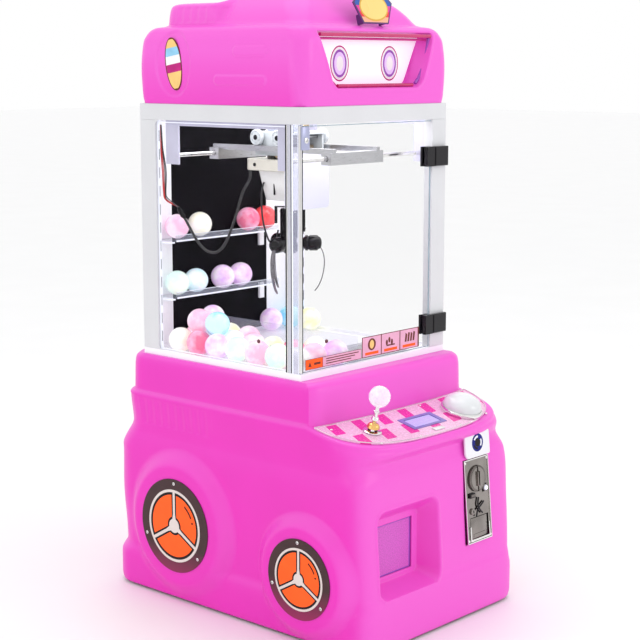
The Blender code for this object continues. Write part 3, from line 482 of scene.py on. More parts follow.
def ball_look(name, a, bcol, painted_glow=0.25):
    """Moulded prize ball: two colours swirled together, with a painted glow."""
    m = look(name, a, rough=0.25, coat=0.5, var=0.05, scale=25.0, bump=0.02, emit=painted_glow, emit_rgb=tuple(min(0.5 * (a[i] + bcol[i]) + 0.15, 1) for i in range(3)))
    ramp = [n for n in m.node_tree.nodes if n.type == "VALTORGB"][0]
    ramp.color_ramp.elements[0].position, ramp.color_ramp.elements[1].position = 0.42, 0.60
    ramp.color_ramp.elements[0].color = (*a, 1)
    ramp.color_ramp.elements[1].color = (*bcol, 1)
    return m


disc_brown = wheel_brown()
disc_brown.node_tree.nodes["Principled BSDF"].inputs["Specular IOR Level"].default_value = 0.2
deck_look = deck_print()
# the crystal ball has a small painted glow
crystal = look("crystal_ball", (0.88, 0.90, 0.97), rough=0.05, var=0.12, scale=240.0, bump=0.9, grain=230.0, rough_var=0.04, transmission=0.55, coat=0.6, emit=0.12, emit_rgb=(1.0, 0.96, 1.0))


# ------------------------------------------------------------------ mesh helpers
def make(name, bm, mats, body, replaces=(), slot=None, sharp=35.0, recalc=True):
    if recalc:
        bmesh.ops.recalc_face_normals(bm, faces=bm.faces)
    me = bpy.data.meshes.new(name)
    bm.to_mesh(me)
    bm.free()
    for m in (mats if isinstance(mats, (list, tuple)) else [mats]):
        me.materials.append(m)
    me.shade_smooth()
    if sharp is not None:
        me.set_sharp_from_angle(angle=math.radians(sharp))
    ob = bpy.data.objects.new(name, me)
    SCENE.collection.objects.link(ob)
    if body is not None:
        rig.ride(ob, body)
    if replaces:
        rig.replaces(ob, *replaces)
    if slot:
        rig.slot(ob, slot)
    return ob


def add_box(bm, lo, hi, mx=None, bevel=0.0, seg=2, mat=0):
    t = bmesh.new()
    bmesh.ops.create_cube(t, size=1.0)
    bmesh.ops.scale(t, vec=[hi[i] - lo[i] for i in range(3)], verts=t.verts)
    bmesh.ops.translate(t, vec=[(hi[i] + lo[i]) / 2 for i in range(3)], verts=t.verts)
    if bevel:
        bmesh.ops.bevel(t, geom=list(t.edges), offset=bevel, segments=seg, affect="EDGES", profile=0.5)
    merge(bm, t, mx, mat)


def merge(bm, t, mx=None, mat=0):
    if mx is not None:
        bmesh.ops.transform(t, matrix=mx, verts=t.verts)
    bmesh.ops.recalc_face_normals(t, faces=t.faces)
    for f in t.faces:
        f.material_index = mat
    me = bpy.data.meshes.new("tmp")
    t.to_mesh(me)
    t.free()
    bm.from_mesh(me)
    bpy.data.meshes.remove(me)


def add_turned(bm, profile, seg=32, mx=None, mat=0):
    """Profile of (radius, z) from one end of the axis to the other, or closed on itself."""
    t = bmesh.new()
    closed = not (profile[0][0] == 0 and profile[-1][0] == 0)
    rows = []
    for r, z in profile:
        if r == 0:
            rows.append([t.verts.new((0, 0, z))])
        else:
            rows.append([t.verts.new((r * math.cos(2 * math.pi * k / seg), r * math.sin(2 * math.pi * k / seg), z)) for k in range(seg)])
    pairs = list(zip(rows[:-1], rows[1:])) + ([(rows[-1], rows[0])] if closed else [])
    for a, b in pairs:
        for k in range(seg):
            j = (k + 1) % seg
            if len(a) == 1 and len(b) == 1:
                break
            if len(a) == 1:
                t.faces.new((a[0], b[k], b[j]))
            elif len(b) == 1:
                t.faces.new((a[k], a[j], b[0]))
            else:
                t.faces.new((a[k], a[j], b[j], b[k]))
    merge(bm, t, mx, mat)


def add_prism(bm, pts, z0, z1, mx=None, mat=0, bevel=0.0):
    t = bmesh.new()
    face = t.faces.new([t.verts.new((p[0], p[1], z0)) for p in pts])
    up = bmesh.ops.extrude_face_region(t, geom=[face])
    bmesh.ops.translate(t, vec=(0, 0, z1 - z0), verts=[v for v in up["geom"] if isinstance(v, bmesh.types.BMVert)])
    if bevel:
        es = [e for e in t.edges if abs(e.verts[0].co.z - e.verts[1].co.z) < 1e-9 and e.verts[0].co.z > (z0 + z1) / 2]
        bmesh.ops.bevel(t, geom=es, offset=bevel, segments=2, affect="EDGES", profile=0.5)
    merge(bm, t, mx, mat)


def add_loft(bm, rings, caps=True, loop=False, mx=None, mat=0):
    t = bmesh.new()
    rows = [[t.verts.new(p) for p in r] for r in rings]
    n = len(rings[0])
    for a, b in list(zip(rows[:-1], rows[1:])) + ([(rows[-1], rows[0])] if loop else []):
        for i in range(n):
            j = (i + 1) % n
            t.faces.new((a[i], a[j], b[j], b[i]))
    if caps and not loop:
        t.faces.new(rows[0])
        t.faces.new(rows[-1])
    merge(bm, t, mx, mat)


def add_tube(bm, pts, r, seg=12, mat=0, caps=True):
    """Round tube along points, with a steady frame."""
    pts = [Vector(p) for p in pts]
    t = bmesh.new()
    tang = [(pts[min(i + 1, len(pts) - 1)] - pts[max(i - 1, 0)]).normalized() for i in range(len(pts))]
    up = Vector((0, 0, 1)) if abs(tang[0].z) < 0.9 else Vector((1, 0, 0))
    nrm = tang[0].cross(up).normalized()
    rows = []
    for i, p in enumerate(pts):
        nrm = (nrm - tang[i] * nrm.dot(tang[i])).normalized()
        bi = tang[i].cross(nrm)
        rr = r[i] if isinstance(r, (list, tuple)) else r
        rows.append([t.verts.new(p + (nrm * math.cos(2 * math.pi * k / seg) + bi * math.sin(2 * math.pi * k / seg)) * rr) for k in range(seg)])
    for a, b in zip(rows[:-1], rows[1:]):
        for k in range(seg):
            j = (k + 1) % seg
            t.faces.new((a[k], a[j], b[j], b[k]))
    if caps:
        t.faces.new(rows[0])
        t.faces.new(rows[-1])
    merge(bm, t, None, mat)


def smooth_route(ctrl, n):
    c = [Vector(p) for p in ctrl]
    c = [c[0] * 2 - c[1]] + c + [c[-1] * 2 - c[-2]]
    fine = []
    for i in range(1, len(c) - 2):
        for k in range(24):
            t = k / 24
            a, b, d, e = c[i - 1], c[i], c[i + 1], c[i + 2]
            fine.append(0.5 * ((2 * b) + (d - a) * t + (2 * a - 5 * b + 4 * d - e) * t * t + (3 * b - a - 3 * d + e) * t ** 3))
    fine.append(c[-2])
    run = [0.0]
    for a, b in zip(fine[:-1], fine[1:]):
        run.append(run[-1] + (b - a).length)
    out, k = [], 0
    for i in range(n):
        s = run[-1] * i / (n - 1)
        while k < len(run) - 2 and run[k + 1] < s:
            k += 1
        f = (s - run[k]) / max(run[k + 1] - run[k], 1e-9)
        out.append(fine[k].lerp(fine[k + 1], min(max(f, 0), 1)))
    return out


def length_of(pts):
    return sum((Vector(b) - Vector(a)).length for a, b in zip(pts[:-1], pts[1:]))


def paint(node, *mats):
    o = NODES[node]
    for i, s in enumerate(o.material_slots):
        s.material = mats[min(i, len(mats) - 1)]


AXIS_X = Matrix.Rotation(math.pi / 2, 4, "Y")
AXIS_Y = Matrix.Rotation(-math.pi / 2, 4, "X")      # local +Z points to +Y
AXIS_YN = Matrix.Rotation(math.pi / 2, 4, "X")      # local +Z points to -Y


def at(x, y, z):
    return Matrix.Translation((x, y, z))


# ------------------------------------------------------------------ cords
GAP = 0.0003
CABLE_R = 0.0030
CABLE = [(-0.1975, 0.1900, 0.8480), (-0.1905, 0.1835, 0.8300), (-0.1790, 0.1725, 0.8000), (-0.1660, 0.1600, 0.7785), (-0.1520, 0.1480, 0.7715),
         (-0.1380, 0.1385, 0.7785), (-0.1240, 0.1300, 0.8040), (-0.1080, 0.1215, 0.8520), (-0.0930, 0.1150, 0.9020), (-0.0765, 0.1095, 0.9300), (-0.0750, 0.1090, 0.9487)]
route = smooth_route(CABLE, 41)
low = min(range(len(route)), key=lambda i: route[i].z)
left_pts, right_pts = route[:low + 1], route[low:]


def cord_piece(name, pts, r, seg, replaces, a, b, start, end, mat=cord_black):
    bm = bmesh.new()
    add_tube(bm, pts, r, seg=seg)
    ob = make(name, bm, mat, None, sharp=50)
    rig.blend(ob, a, b, start=start, end=end)
    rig.replaces(ob, replaces)
    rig.slot(ob, "cord_black")
    return ob


cable_a = cord_piece("control_cable_fixed_end", left_pts, CABLE_R, 14, "cable_left", "cabinet", "bridge", left_pts[0], left_pts[-1])
cable_b = cord_piece("control_cable_moving_end", right_pts, CABLE_R, 14, "cable_right", "bridge", "trolley", right_pts[0], right_pts[-1])
LEAD = [(-0.0668, 0.0750, 0.9250), (-0.0705, 0.0790, 0.9000), (-0.0640, 0.0830, 0.8480), (-0.0520, 0.0815, 0.8060), (-0.0430, 0.0765, 0.7890),
        (-0.0345, 0.0705, 0.7960), (-0.0306, 0.0672, 0.8180)]
lead_pts = smooth_route(LEAD, 34)
lead = cord_piece("claw_lead_cord", lead_pts, 0.0020, 12, "claw_lead", "trolley", "claw", lead_pts[0], (-0.0306, 0.0672, 0.8180))
bm = bmesh.new()
strand = [Vector((HX + 0.0006 * math.cos(k * 0.9), HY + 0.0006 * math.sin(k * 0.9), 0.8847 - 0.0164 * k / 28)) for k in range(29)]
add_tube(bm, strand, 0.0006, seg=8)
strand = [Vector((HX - 0.0006 * math.cos(k * 0.9), HY - 0.0006 * math.sin(k * 0.9), 0.8847 - 0.0164 * k / 28)) for k in range(29)]
add_tube(bm, strand, 0.0006, seg=8)
hoist = make("hoist_cord_twisted", bm, cord_black, None, sharp=60)
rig.blend(hoist, "trolley", "claw", start=(HX, HY, 0.8847), end=(HX, HY, 0.8683))
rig.replaces(hoist, "hoist_cord")
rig.slot(hoist, "cord_black")

# plug on the fixed end: body, grip ribs and a tapered strain relief
plug_dir = (route[0] - route[1]).normalized()
plug_mid = route[0] + plug_dir * (GAP + 0.014)
plug_mx = Matrix.Translation(plug_mid) @ plug_dir.to_track_quat("Z", "Y").to_matrix().to_4x4()
bm = bmesh.new()
add_box(bm, (-0.009, -0.0055, -0.010), (0.009, 0.0055, 0.0100), mx=plug_mx, bevel=0.0016)
for k in range(3):
    add_box(bm, (-0.0097, -0.0060, -0.0072 + k * 0.0042), (0.0097, 0.0060, -0.0052 + k * 0.0042), mx=plug_mx, bevel=0.0006)
add_turned(bm, [(0, -0.0142), (0.0034, -0.0142), (0.0042, -0.0120), (0.0052, -0.0095), (0, -0.0095)], seg=20, mx=plug_mx)
add_box(bm, (-0.0068, -0.0040, 0.0098), (0.0068, 0.0040, 0.0140), mx=plug_mx, bevel=0.0008)
plug = make("cable_plug_body", bm, black_gloss, "cabinet", replaces=["cable_plug"], slot="black_plastic")
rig.cord(cable_a, exit=left_pts[0], length=length_of(left_pts), diameter=2 * CABLE_R, far_end="object", stiffness="medium", lay="hanging", path=left_pts, with_pieces=[plug])
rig.cord(cable_b, exit=right_pts[0], length=length_of(right_pts), diameter=2 * CABLE_R, far_end="object", stiffness="medium", lay="hanging", path=right_pts)
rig.cord(lead, exit=lead_pts[0], length=length_of(lead_pts), diameter=0.0040, far_end="object", stiffness="limp", lay="hanging", path=lead_pts)


# ------------------------------------------------------------------ base moulding
def front_y(x, hx, yf, n):
    f = min(abs(x) / hx, 1.0)
    return FRONT_YC - (yf + FRONT_YC) * (max(1 - f ** n, 0.0)) ** (1.0 / n)


def spaced(a, b, n):
    return [a + (b - a) * i / n for i in range(n + 1)]


# columns of the bowed front, by polar angle: evenly along the arc, finer across the prize recess
def polar_point(hx, yf, n, phi):
    c, s = math.cos(phi), math.sin(phi)
    r = 1.0 / ((abs(c) ** n + abs(s) ** n) ** (1.0 / n))
    return hx * r * c, FRONT_YC - (yf + FRONT_YC) * r * s


def angle_at(x, hx=BASE_HX, yf=0.3765, n=13):
    lo, hi = 0.0, math.pi
    for _ in range(50):
        m = (lo + hi) / 2
        if polar_point(hx, yf, n, m)[0] > x:
            lo = m
        else:
            hi = m
    return (lo + hi) / 2


fine_phi = [math.pi * i / 6000 for i in range(6001)]
fine_pt = [polar_point(BASE_HX, 0.3765, 13, p) for p in fine_phi]
PHIS, step, acc = [0.0], 0.0037, 0.0
for i in range(1, 6001):
    a, b = fine_pt[i - 1], fine_pt[i]
    acc += math.hypot(b[0] - a[0], b[1] - a[1])
    x = b[0]
    step = 0.0019 if -0.2200 < x < 0.0060 else 0.0034
    if acc >= step:
        PHIS.append(fine_phi[i])
        acc = 0.0
PHIS[-1] = math.pi
for x in (0.0815, 0.1705, -0.164, -0.049):
    p = angle_at(x)
    k = min(range(len(PHIS)), key=lambda i: abs(PHIS[i] - p))
    PHIS[k] = p
COIN_K = [min(range(len(PHIS)), key=lambda i, x=x: abs(PHIS[i] - angle_at(x))) for x in (0.0815, 0.1705)]
WIN_K = [min(range(len(PHIS)), key=lambda i, x=x: abs(PHIS[i] - angle_at(x))) for x in (-0.164, -0.049)]
NS, NC, NR = 96, 12, 28
SIDE_T = [i / NS for i in range(NS + 1)]


def table(*pairs):
    return curve_through([p[0] for p in pairs], [p[1] for p in pairs])


HXZ = table((0.006, .2590), (.0125, .2612), (.024, .2625), (.060, .2625), (.078, .2622), (.088, .2608), (.096, .2580), (.104, .2568), (.150, .2570), (.200, .2580), (.260, .2590),
            (.300, .2590), (.330, .2585), (.345, .2575), (.356, .2562), (.366, .2550), (.376, .2546), (.385, .2545))
YFZ = table((.006, .3815), (.012, .3835), (.030, .3848), (.092, .3850), (.104, .3842), (.114, .3820), (.124, .3803), (.143, .3797), (.1943, .3765), (.2456, .3725), (.300, .3698),
            (.3435, .3672), (.356, .3655), (.368, .3628), (.381, .3612), (.385, .3610))
NZ = table((0.0, 13.0), (.300, 13.0), (.3435, 11.0), (.381, 6.0), (.385, 5.9))
YBZ = table((.006, .3815), (.0125, .3838), (.024, .385), (.325, .385), (.336, .380), (.354, .368), (.381, .352), (.385, .351))
RBZ = table((.006, .060), (.024, .062), (.074, .062), (.10, .085), (.23, .072), (.31, .075), (.354, .070), (.375, .072))


def plan(hx, yf, n, yb, rb):
    """Plan outline at one level: right side, rear, left side, front. Gives (x, y, tag)."""
    pts = []
    ys = [FRONT_YC + (yb - rb - FRONT_YC) * t for t in SIDE_T][1:]
    for y in ys:
        pts.append((hx, y, "s"))
    for k in range(1, NC + 1):
        a = math.pi / 2 * k / NC
        pts.append((hx - rb + rb * math.cos(a), yb - rb + rb * math.sin(a), "r"))
    for k in range(1, NR):
        pts.append(((hx - rb) * (1 - 2 * k / NR), yb, "r"))
    for k in range(0, NC):
        a = math.pi / 2 + math.pi / 2 * k / NC
        pts.append((-hx + rb + rb * math.cos(a), yb - rb + rb * math.sin(a), "r"))
    for y in reversed(ys):
        pts.append((-hx, y, "s"))
    for p in reversed(PHIS):
        x, y = polar_point(hx, yf, n, p)
        pts.append((x, y, "f"))
    return pts


N_SIDE = NS
I_FRONT = 2 * NS + 2 * NC + NR - 1         # first front column (left end)


def arch(x, y, z):
    w = 0.0
    for wy, wz, wr in WHEELS.values():
        d = math.hypot(y - wy, z - wz) / wr
        t = min(max((1.62 - d) / 0.40, 0), 1)
        w = max(w, t * t * (3 - 2 * t))
    side = abs(x) / BASE_HX
    if side < 0.90:
        return x
    k = min((side - 0.90) / 0.06, 1)
    return math.copysign(abs(x) + (ARCH_X - abs(x)) * w * k, x)


def rounded_rect(x, z, r, cr):
    """Signed distance to a rectangle with rounded corners, negative inside."""
    cx, cz = (r[0] + r[1]) / 2, (r[2] + r[3]) / 2
    hx, hz = (r[1] - r[0]) / 2 - cr, (r[3] - r[2]) / 2 - cr
    qx, qz = abs(x - cx) - hx, abs(z - cz) - hz
    return math.hypot(max(qx, 0), max(qz, 0)) + min(max(qx, qz), 0) - cr


def eased(t, e=0.07):
    t = min(max(t, 0.0), 1.0)
    if t < e:
        v = t * t / (2 * e)
    elif t > 1 - e:
        v = 1 - e - (1 - t) ** 2 / (2 * e)
    else:
        v = t - e / 2
    return v / (1 - e)


def pocket(x, y, z):
    d1 = rounded_rect(x, z, RECESS, 0.026)
    if d1 > 0.007:
        return y
    if d1 > -0.0005:
        # a soft raised lip round the mouth
        return y - 0.0014 * math.sin(math.pi * min(max((0.007 - d1) / 0.0075, 0), 1)) if y > -0.3835 else y
    d2 = rounded_rect(x, z, RECESS_BACK, 0.014)
    t = 1.0 if d2 <= 0 else -d1 / (-d1 + d2)
    return y + (RECESS_Y - y) * eased(t)


# side flutes moulded into the flank over the rear wheel, and a hub line round the arches
def flute(x, y, z):
    if abs(x) < 0.24 or not 0.385 < z < 0.449:
        return x
    if not 0.05 < y < 0.33:
        return x
    w = smooth((z - 0.386) / 0.006) * smooth((0.4475 - z) / 0.006) * smooth((y - 0.05) / 0.010) * smooth((0.325 - y) / 0.010)
    s = (math.cos(2 * math.pi * (y - 0.05) / 0.024) + 1) / 2
    return math.copysign(abs(x) - 0.0015 * w * s ** 0.7, x)


levels = sorted(set([round(v, 5) for v in
                     [0.006, 0.0075, 0.009, 0.0125, 0.018, 0.024, 0.0297, 0.0603, 0.070, 0.078, 0.083, 0.088, 0.092, 0.096, 0.100, 0.104]
                     + spaced(0.030, 0.060, 8)[1:-1]
                     + spaced(0.1065, 0.1335, 14) + [0.137] + spaced(0.139, 0.1600, 7) + [0.161] + spaced(0.1635, 0.246, 28) + [0.248] + spaced(0.250, 0.296, 24)
                     + spaced(0.2985, 0.318, 6) + [0.320] + spaced(0.3225, 0.343, 6) + [0.346] + spaced(0.348, 0.385, 18)]))
rings = []
for z in levels:
    hx, yf, n, yb, rb = HXZ(z), YFZ(z), NZ(z), YBZ(z), RBZ(z)
    ring = []
    for x, y, t in plan(hx, yf, n, yb, rb):
        if t == "f" and abs(x) < 0.25:
            y = pocket(x, y, z)
        if t != "r" or abs(x) > 0.9 * hx:
            x = arch(x, y, z)
        ring.append((x, y, z))
    rings.append(ring)
n_flat = len(rings)


def up_ring(u):
    """Between the shoulder at 0.385 and 14 mm under the deck."""
    s = smooth(u)
    hx = 0.2545 + (0.2590 - 0.2545) * s
    yf = 0.3610 + 0.0170 * smooth(u ** 0.8)
    n = 5.9 + (3.6 - 5.9) * u
    yb, rb = 0.351 + (0.346 - 0.351) * u, 0.072 + (0.060 - 0.072) * u
    ring = []
    for x, y, t in plan(hx, yf, n, yb, rb):
        zt = deck_z(y) - 0.014 if t == "f" else 0.4474
        z = 0.385 + (zt - 0.385) * u
        ring.append((flute(x, y, z), y, z))
    return ring


for u in spaced(0, 1, 20)[1:]:
    rings.append(up_ring(u))
edge_prof = [(-0.0105, 0.3784, 0.2590, 0.4505, 0.3455), (-0.0080, 0.3783, 0.2585, 0.4530, 0.3448), (-0.0060, 0.3776, 0.2575, 0.4550, 0.3438), (-0.0045, 0.3768, 0.2560, 0.4568, 0.3425), (-0.0036, 0.3756, 0.2545, 0.4578, 0.3405)]
for dz, yf, hx, zs, yb in edge_prof:
    ring = []
    for x, y, t in plan(hx, yf, 3.5, yb, 0.056):
        ring.append((x, y, deck_z(y) + dz if t == "f" else zs))
    rings.append(ring)


def upper(hx, z, front, bow, yb, drop=False, rb=0.050):
    ring = []
    for x, y, t in plan(hx, 0.3645, 3.4, yb, rb):
        if t == "f":
            f = min(abs(x) / hx, 1)
            y2 = front - bow * (1 - f * f)
            x2 = math.copysign(hx * min(f, 0.94 + 0.06 * f), x)
            y2 += 0.010 * max(0, (f - 0.9) / 0.1) ** 2
            ring.append((x2, y2, deck_z(y2) - 0.0036 if drop else z))
        elif t == "s":
            y_end, y_far = front + 0.012, yb - rb
            ring.append((x, y_end + (y - FRONT_YC) * (y_far - y_end) / (y_far - FRONT_YC), z))
        else:
            ring.append((x, y, z))
    return ring


foot = upper(0.2512, 0.4606, -0.2372, 0.0115, 0.3358, drop=True)
last = rings[-1]
i_deck0 = len(rings)
for k in range(1, 13):
    s = k / 12
    rings.append([tuple(a[i] + (b[i] - a[i]) * s for i in range(3)) for a, b in zip(last, foot)])
i_deck1 = len(rings)
UHX = table((0.4606, .2508), (0.463, .2505), (0.518, .2490), (0.5315, .2475), (0.5365, .2455), (0.540, .2430), (0.5424, .2410))
UFY = table((0.4606, -.2366), (0.463, -.2360), (0.518, -.2350), (0.5315, -.2325), (0.5365, -.2290), (0.540, -.2250), (0.5424, -.2200))
UBW = table((0.4606, .0115), (0.463, .0115), (0.518, .0080), (0.5335, .0060), (0.5424, .0030))
UYB = table((0.4606, .3355), (0.463, .335), (0.518, .334), (0.5335, .332), (0.5424, .324))
for z in (0.463, 0.467, 0.475, 0.490, 0.505, 0.518, 0.526, 0.5315, 0.5345, 0.5365, 0.5385, 0.5400, 0.5412, 0.5420, 0.5424):
    rings.append(upper(UHX(z), z, UFY(z), UBW(z), UYB(z)))
rim = [(x * 0.222 / 0.241, -0.178 + (y + 0.223) * 0.452 / 0.547, LEDGE_Z) for x, y, z in rings[-1]]
for s in (0.25, 0.5, 0.75, 1.0):
    rings.append([tuple(a[i] + (b[i] - a[i]) * s for i in range(3)) for a, b in zip(rings[-1], rim)] if s < 1 else rim)

bm = bmesh.new()
rows = [[bm.verts.new(p) for p in r] for r in rings]
ncol = len(rings[0])
ztab = levels


def col_front(k):
    return I_FRONT + (len(PHIS) - 1 - k)


def front_span(k0, k1):
    a, b = sorted((col_front(k0), col_front(k1)))
    return range(a, b)


skip = set()
for r in range(n_flat - 1):
    z0, z1 = ztab[r], ztab[r + 1]
    if z0 > 0.1369 and z1 < 0.2481:
        skip.update((r, c) for c in front_span(*WIN_K))
    if z0 > 0.1609 and z1 < 0.3461:
        skip.update((r, c) for c in front_span(*COIN_K))
    if z0 > 0.0699 and z1 < 0.3201:
        skip.update((r, c) for c in range(ncol) if rings[r][c][1] > 0.37 and -0.1500 < (rings[r][c][0] + rings[r][(c + 1) % ncol][0]) / 2 < 0.1500 and abs(rings[r][c][0]) < 0.158)
    if z0 > 0.0296 and z1 < 0.0604:
        skip.update((r, c) for c in range(ncol) if rings[r][c][1] > 0.37 and 0.157 < (rings[r][c][0] + rings[r][(c + 1) % ncol][0]) / 2 < 0.203)


def in_deck_hole(x, y):
    a, b, n = 0.240, 0.1375, 2.9
    if y > -0.262 - 0.006 * (1 - (x / 0.240) ** 2):
        return False
    return (abs(x) / a) ** n + (abs(y - FRONT_YC) / b) ** n < 1


for r in range(len(rows) - 1):
    a, b = rows[r], rows[r + 1]
    for c in range(ncol):
        if (r, c) in skip:
            continue
        j = (c + 1) % ncol
        if i_deck0 - 1 <= r < i_deck1:
            mx_ = sum(v.co.x for v in (a[c], a[j], b[j], b[c])) / 4
            my_ = sum(v.co.y for v in (a[c], a[j], b[j], b[c])) / 4
            if in_deck_hole(mx_, my_):
                continue
        bm.faces.new((a[c], a[j], b[j], b[c]))
bmesh.ops.recalc_face_normals(bm, faces=bm.faces)
big = max(bm.faces, key=lambda f: f.calc_center_median().x)
if big.normal.x < 0:
    bmesh.ops.reverse_faces(bm, faces=bm.faces)
base = make("base_moulding", bm, pink, "cabinet", replaces=["base_shell"], slot="pink_moulding", sharp=42, recalc=False)
sol = base.modifiers.new("wall", "SOLIDIFY")
sol.thickness, sol.offset = 0.0035, -1.0
sol.use_rim = True

# ------------------------------------------------------------------ roof moulding
G_LOW = table((1.0960, 0.0000), (1.112, 0.0030), (1.175, 0.0060), (1.225, 0.0030), (1.245, -0.0040), (1.2555, -0.0140), (1.2590, -0.0300))
R_LOW = table((1.0960, 0.030), (1.112, 0.032), (1.175, 0.036), (1.225, 0.038), (1.245, 0.040), (1.2555, 0.042), (1.2590, 0.044))
REAR = [(-0.034, 1.262), (-0.0345, 1.268), (-0.036, 1.285), (-0.038, 1.296), (-0.041, 1.302), (-0.047, 1.3055), (-0.060, 1.3075), (-0.090, 1.3085), (-0.13, 1.309), (-0.18, 1.3095), (-0.2280, 1.31)]
HOOD = [(-0.036, 1.2615), (-0.040, 1.266), (-0.050, 1.280), (-0.062, 1.294), (-0.074, 1.305), (-0.086, 1.3145), (-0.100, 1.323), (-0.118, 1.3295), (-0.14, 1.3335), (-0.18, 1.3348), (-0.2280, 1.3350)]
idx = list(range(len(REAR)))
RG, RZ = curve_through(idx, [p[0] for p in REAR]), curve_through(idx, [p[1] for p in REAR])
HG, HZ = curve_through(idx, [p[0] for p in HOOD]), curve_through(idx, [p[1] for p in HOOD])
LAMP_Q = 0.80
QS = sorted(set([round(v, 5) for v in spaced(-1, 1, 64)] + [round(s * (LAMP_Q + d), 5) for s in (-1, 1) for d in (0.0, 0.005, 0.010, 0.016, 0.024, 0.034, -0.005, -0.010, -0.018, -0.030, -0.042, -0.054)]))
SIDE_R = 170


def lamp_half(z):
    return 0.140 + 0.046 * (min(max(z, 1.130), 1.246) - 1.130) / 0.116


def lamp_sd(x, z):
    h = lamp_half(z)
    cr = 0.020 if z < 1.188 else 0.007
    qx, qz = abs(x) - (h - cr), abs(z - 1.188) - (0.058 - cr)
    return math.hypot(max(qx, 0), max(qz, 0)) + min(max(qx, qz), 0) - cr


def pill(y, z, y0, y1, z0, z1):
    r = (z1 - z0) / 2
    d = rounded_rect(y, z, (y0, y1, z0, z1), r * 0.98)
    return smooth(-d / 0.0055)


def roof_plan(g, r):
    hx, y0, y1 = 0.236 + g, -0.192 - g, 0.288 + g
    r = min(r, hx * 0.96, (y1 - y0) / 2 * 0.96)
    pts = []
    for k in range(SIDE_R + 1):
        pts.append((hx, y0 + r + (y1 - y0 - 2 * r) * k / SIDE_R, "s"))
    for k in range(1, 12):
        a = math.pi / 2 * k / 12
        pts.append((hx - r + r * math.cos(a), y1 - r + r * math.sin(a), "c"))
    for k in range(41):
        pts.append(((hx - r) * (1 - 2 * k / 40), y1, "b"))
    for k in range(1, 12):
        a = math.pi / 2 + math.pi / 2 * k / 12
        pts.append((-hx + r + r * math.cos(a), y1 - r + r * math.sin(a), "c"))
    for k in range(SIDE_R + 1):
        pts.append((-hx, y1 - r - (y1 - y0 - 2 * r) * k / SIDE_R, "s"))
    for k in range(1, 12):
        a = math.pi + math.pi / 2 * k / 12
        pts.append((-hx + r + r * math.cos(a), y0 + r + r * math.sin(a), "c"))
    for q in QS:
        pts.append((q, y0, "q"))
    for k in range(1, 12):
        a = 1.5 * math.pi + math.pi / 2 * k / 12
        pts.append((hx - r + r * math.cos(a), y0 + r + r * math.sin(a), "c"))
    return pts, hx - r


def roof_ring(g, z, r, g2=None, z2=None):
    pts, hs = roof_plan(g, r)
    if g2 is not None:
        pts2, hs2 = roof_plan(g2, r)
    ring = []
    for i, (x, y, t) in enumerate(pts):
        if t == "q":
            h = min(lamp_half(z), hs * 0.93)
            f = abs(x)
            xx = f / LAMP_Q * h if f < LAMP_Q else h + (hs - h) * (f - LAMP_Q) / (1 - LAMP_Q)
            x = math.copysign(xx, x)
        zz = z
        if g2 is not None:
            x2, y2, _ = pts2[i]
            if t == "q":
                h = min(lamp_half(z), hs2 * 0.93)
                f = abs(pts2[i][0])
                xx = f / LAMP_Q * h if f < LAMP_Q else h + (hs2 - h) * (f - LAMP_Q) / (1 - LAMP_Q)
                x2 = math.copysign(xx, pts2[i][0])
            w = smooth((0.100 - y) / 0.034)
            x, y, zz = x + (x2 - x) * w, y + (y2 - y) * w, z + (z2 - z) * w
        if t == "s" and abs(x) > 0.15:
            s = 1 if x > 0 else -1
            d = math.hypot((y - 0.173) / 0.054, (zz - 1.180) / 0.070)
            x -= s * 0.0032 * smooth((1.04 - d) / 0.13)
            x += s * 0.0026 * max(pill(y, zz, -0.108, -0.006, 1.193, 1.219), pill(y, zz, -0.106, 0.0495, 1.1345, 1.1597))
            if 1.262 < zz < 1.302 and 0.047 < y < 0.235:
                w = smooth((zz - 1.264) / 0.005) * smooth((1.300 - zz) / 0.005) * smooth((y - 0.049) / 0.008) * smooth((0.233 - y) / 0.008)
                x -= s * 0.0020 * w * (0.5 + 0.5 * math.cos(2 * math.pi * (y - 0.049) / 0.0235)) ** 0.6
        if t == "q" and 1.120 < zz < 1.256:
            d = lamp_sd(x, zz)
            if d < 0.0075:
                if d > 0:
                    y += -0.0012 * math.sin(math.pi * (0.0075 - d) / 0.0075)
                else:
                    y += (-0.1515 - y) * eased(-d / 0.0085, 0.10)
        ring.append((x, y, zz))
    return ring


zs = sorted(set([round(v, 5) for v in spaced(1.0960, 1.124, 10) + spaced(1.126, 1.144, 12) + spaced(1.146, 1.232, 46) + spaced(1.234, 1.2455, 9) + spaced(1.2465, 1.2590, 14)]))
rings = [roof_ring(G_LOW(z), z, R_LOW(z)) for z in zs]
for k in range(0, 61):
    t = (len(REAR) - 1) * k / 60
    rings.append(roof_ring(RG(t), RZ(t), 0.046, HG(t), HZ(t)))
bm = bmesh.new()
rows = [[bm.verts.new(p) for p in r] for r in rings]
n = len(rings[0])
for a, b in zip(rows[:-1], rows[1:]):
    for i in range(n):
        j = (i + 1) % n
        bm.faces.new((a[i], a[j], b[j], b[i]))
bm.faces.new(rows[-1])
bmesh.ops.recalc_face_normals(bm, faces=bm.faces)
if max(bm.faces, key=lambda f: f.calc_center_median().x).normal.x < 0:
    bmesh.ops.reverse_faces(bm, faces=bm.faces)
roof = make("roof_moulding", bm, pink, "cabinet", replaces=["roof_shell"], slot="pink_moulding", sharp=42, recalc=False)
sol = roof.modifiers.new("wall", "SOLIDIFY")
sol.thickness, sol.offset = 0.0030, -1.0

# lamp window: opal panel in the bottom of the tray, magenta rails above and below, a violet one at the right, and dark
# pink strips of painted shade along the top and left of the tray
bm = bmesh.new()
pts = []


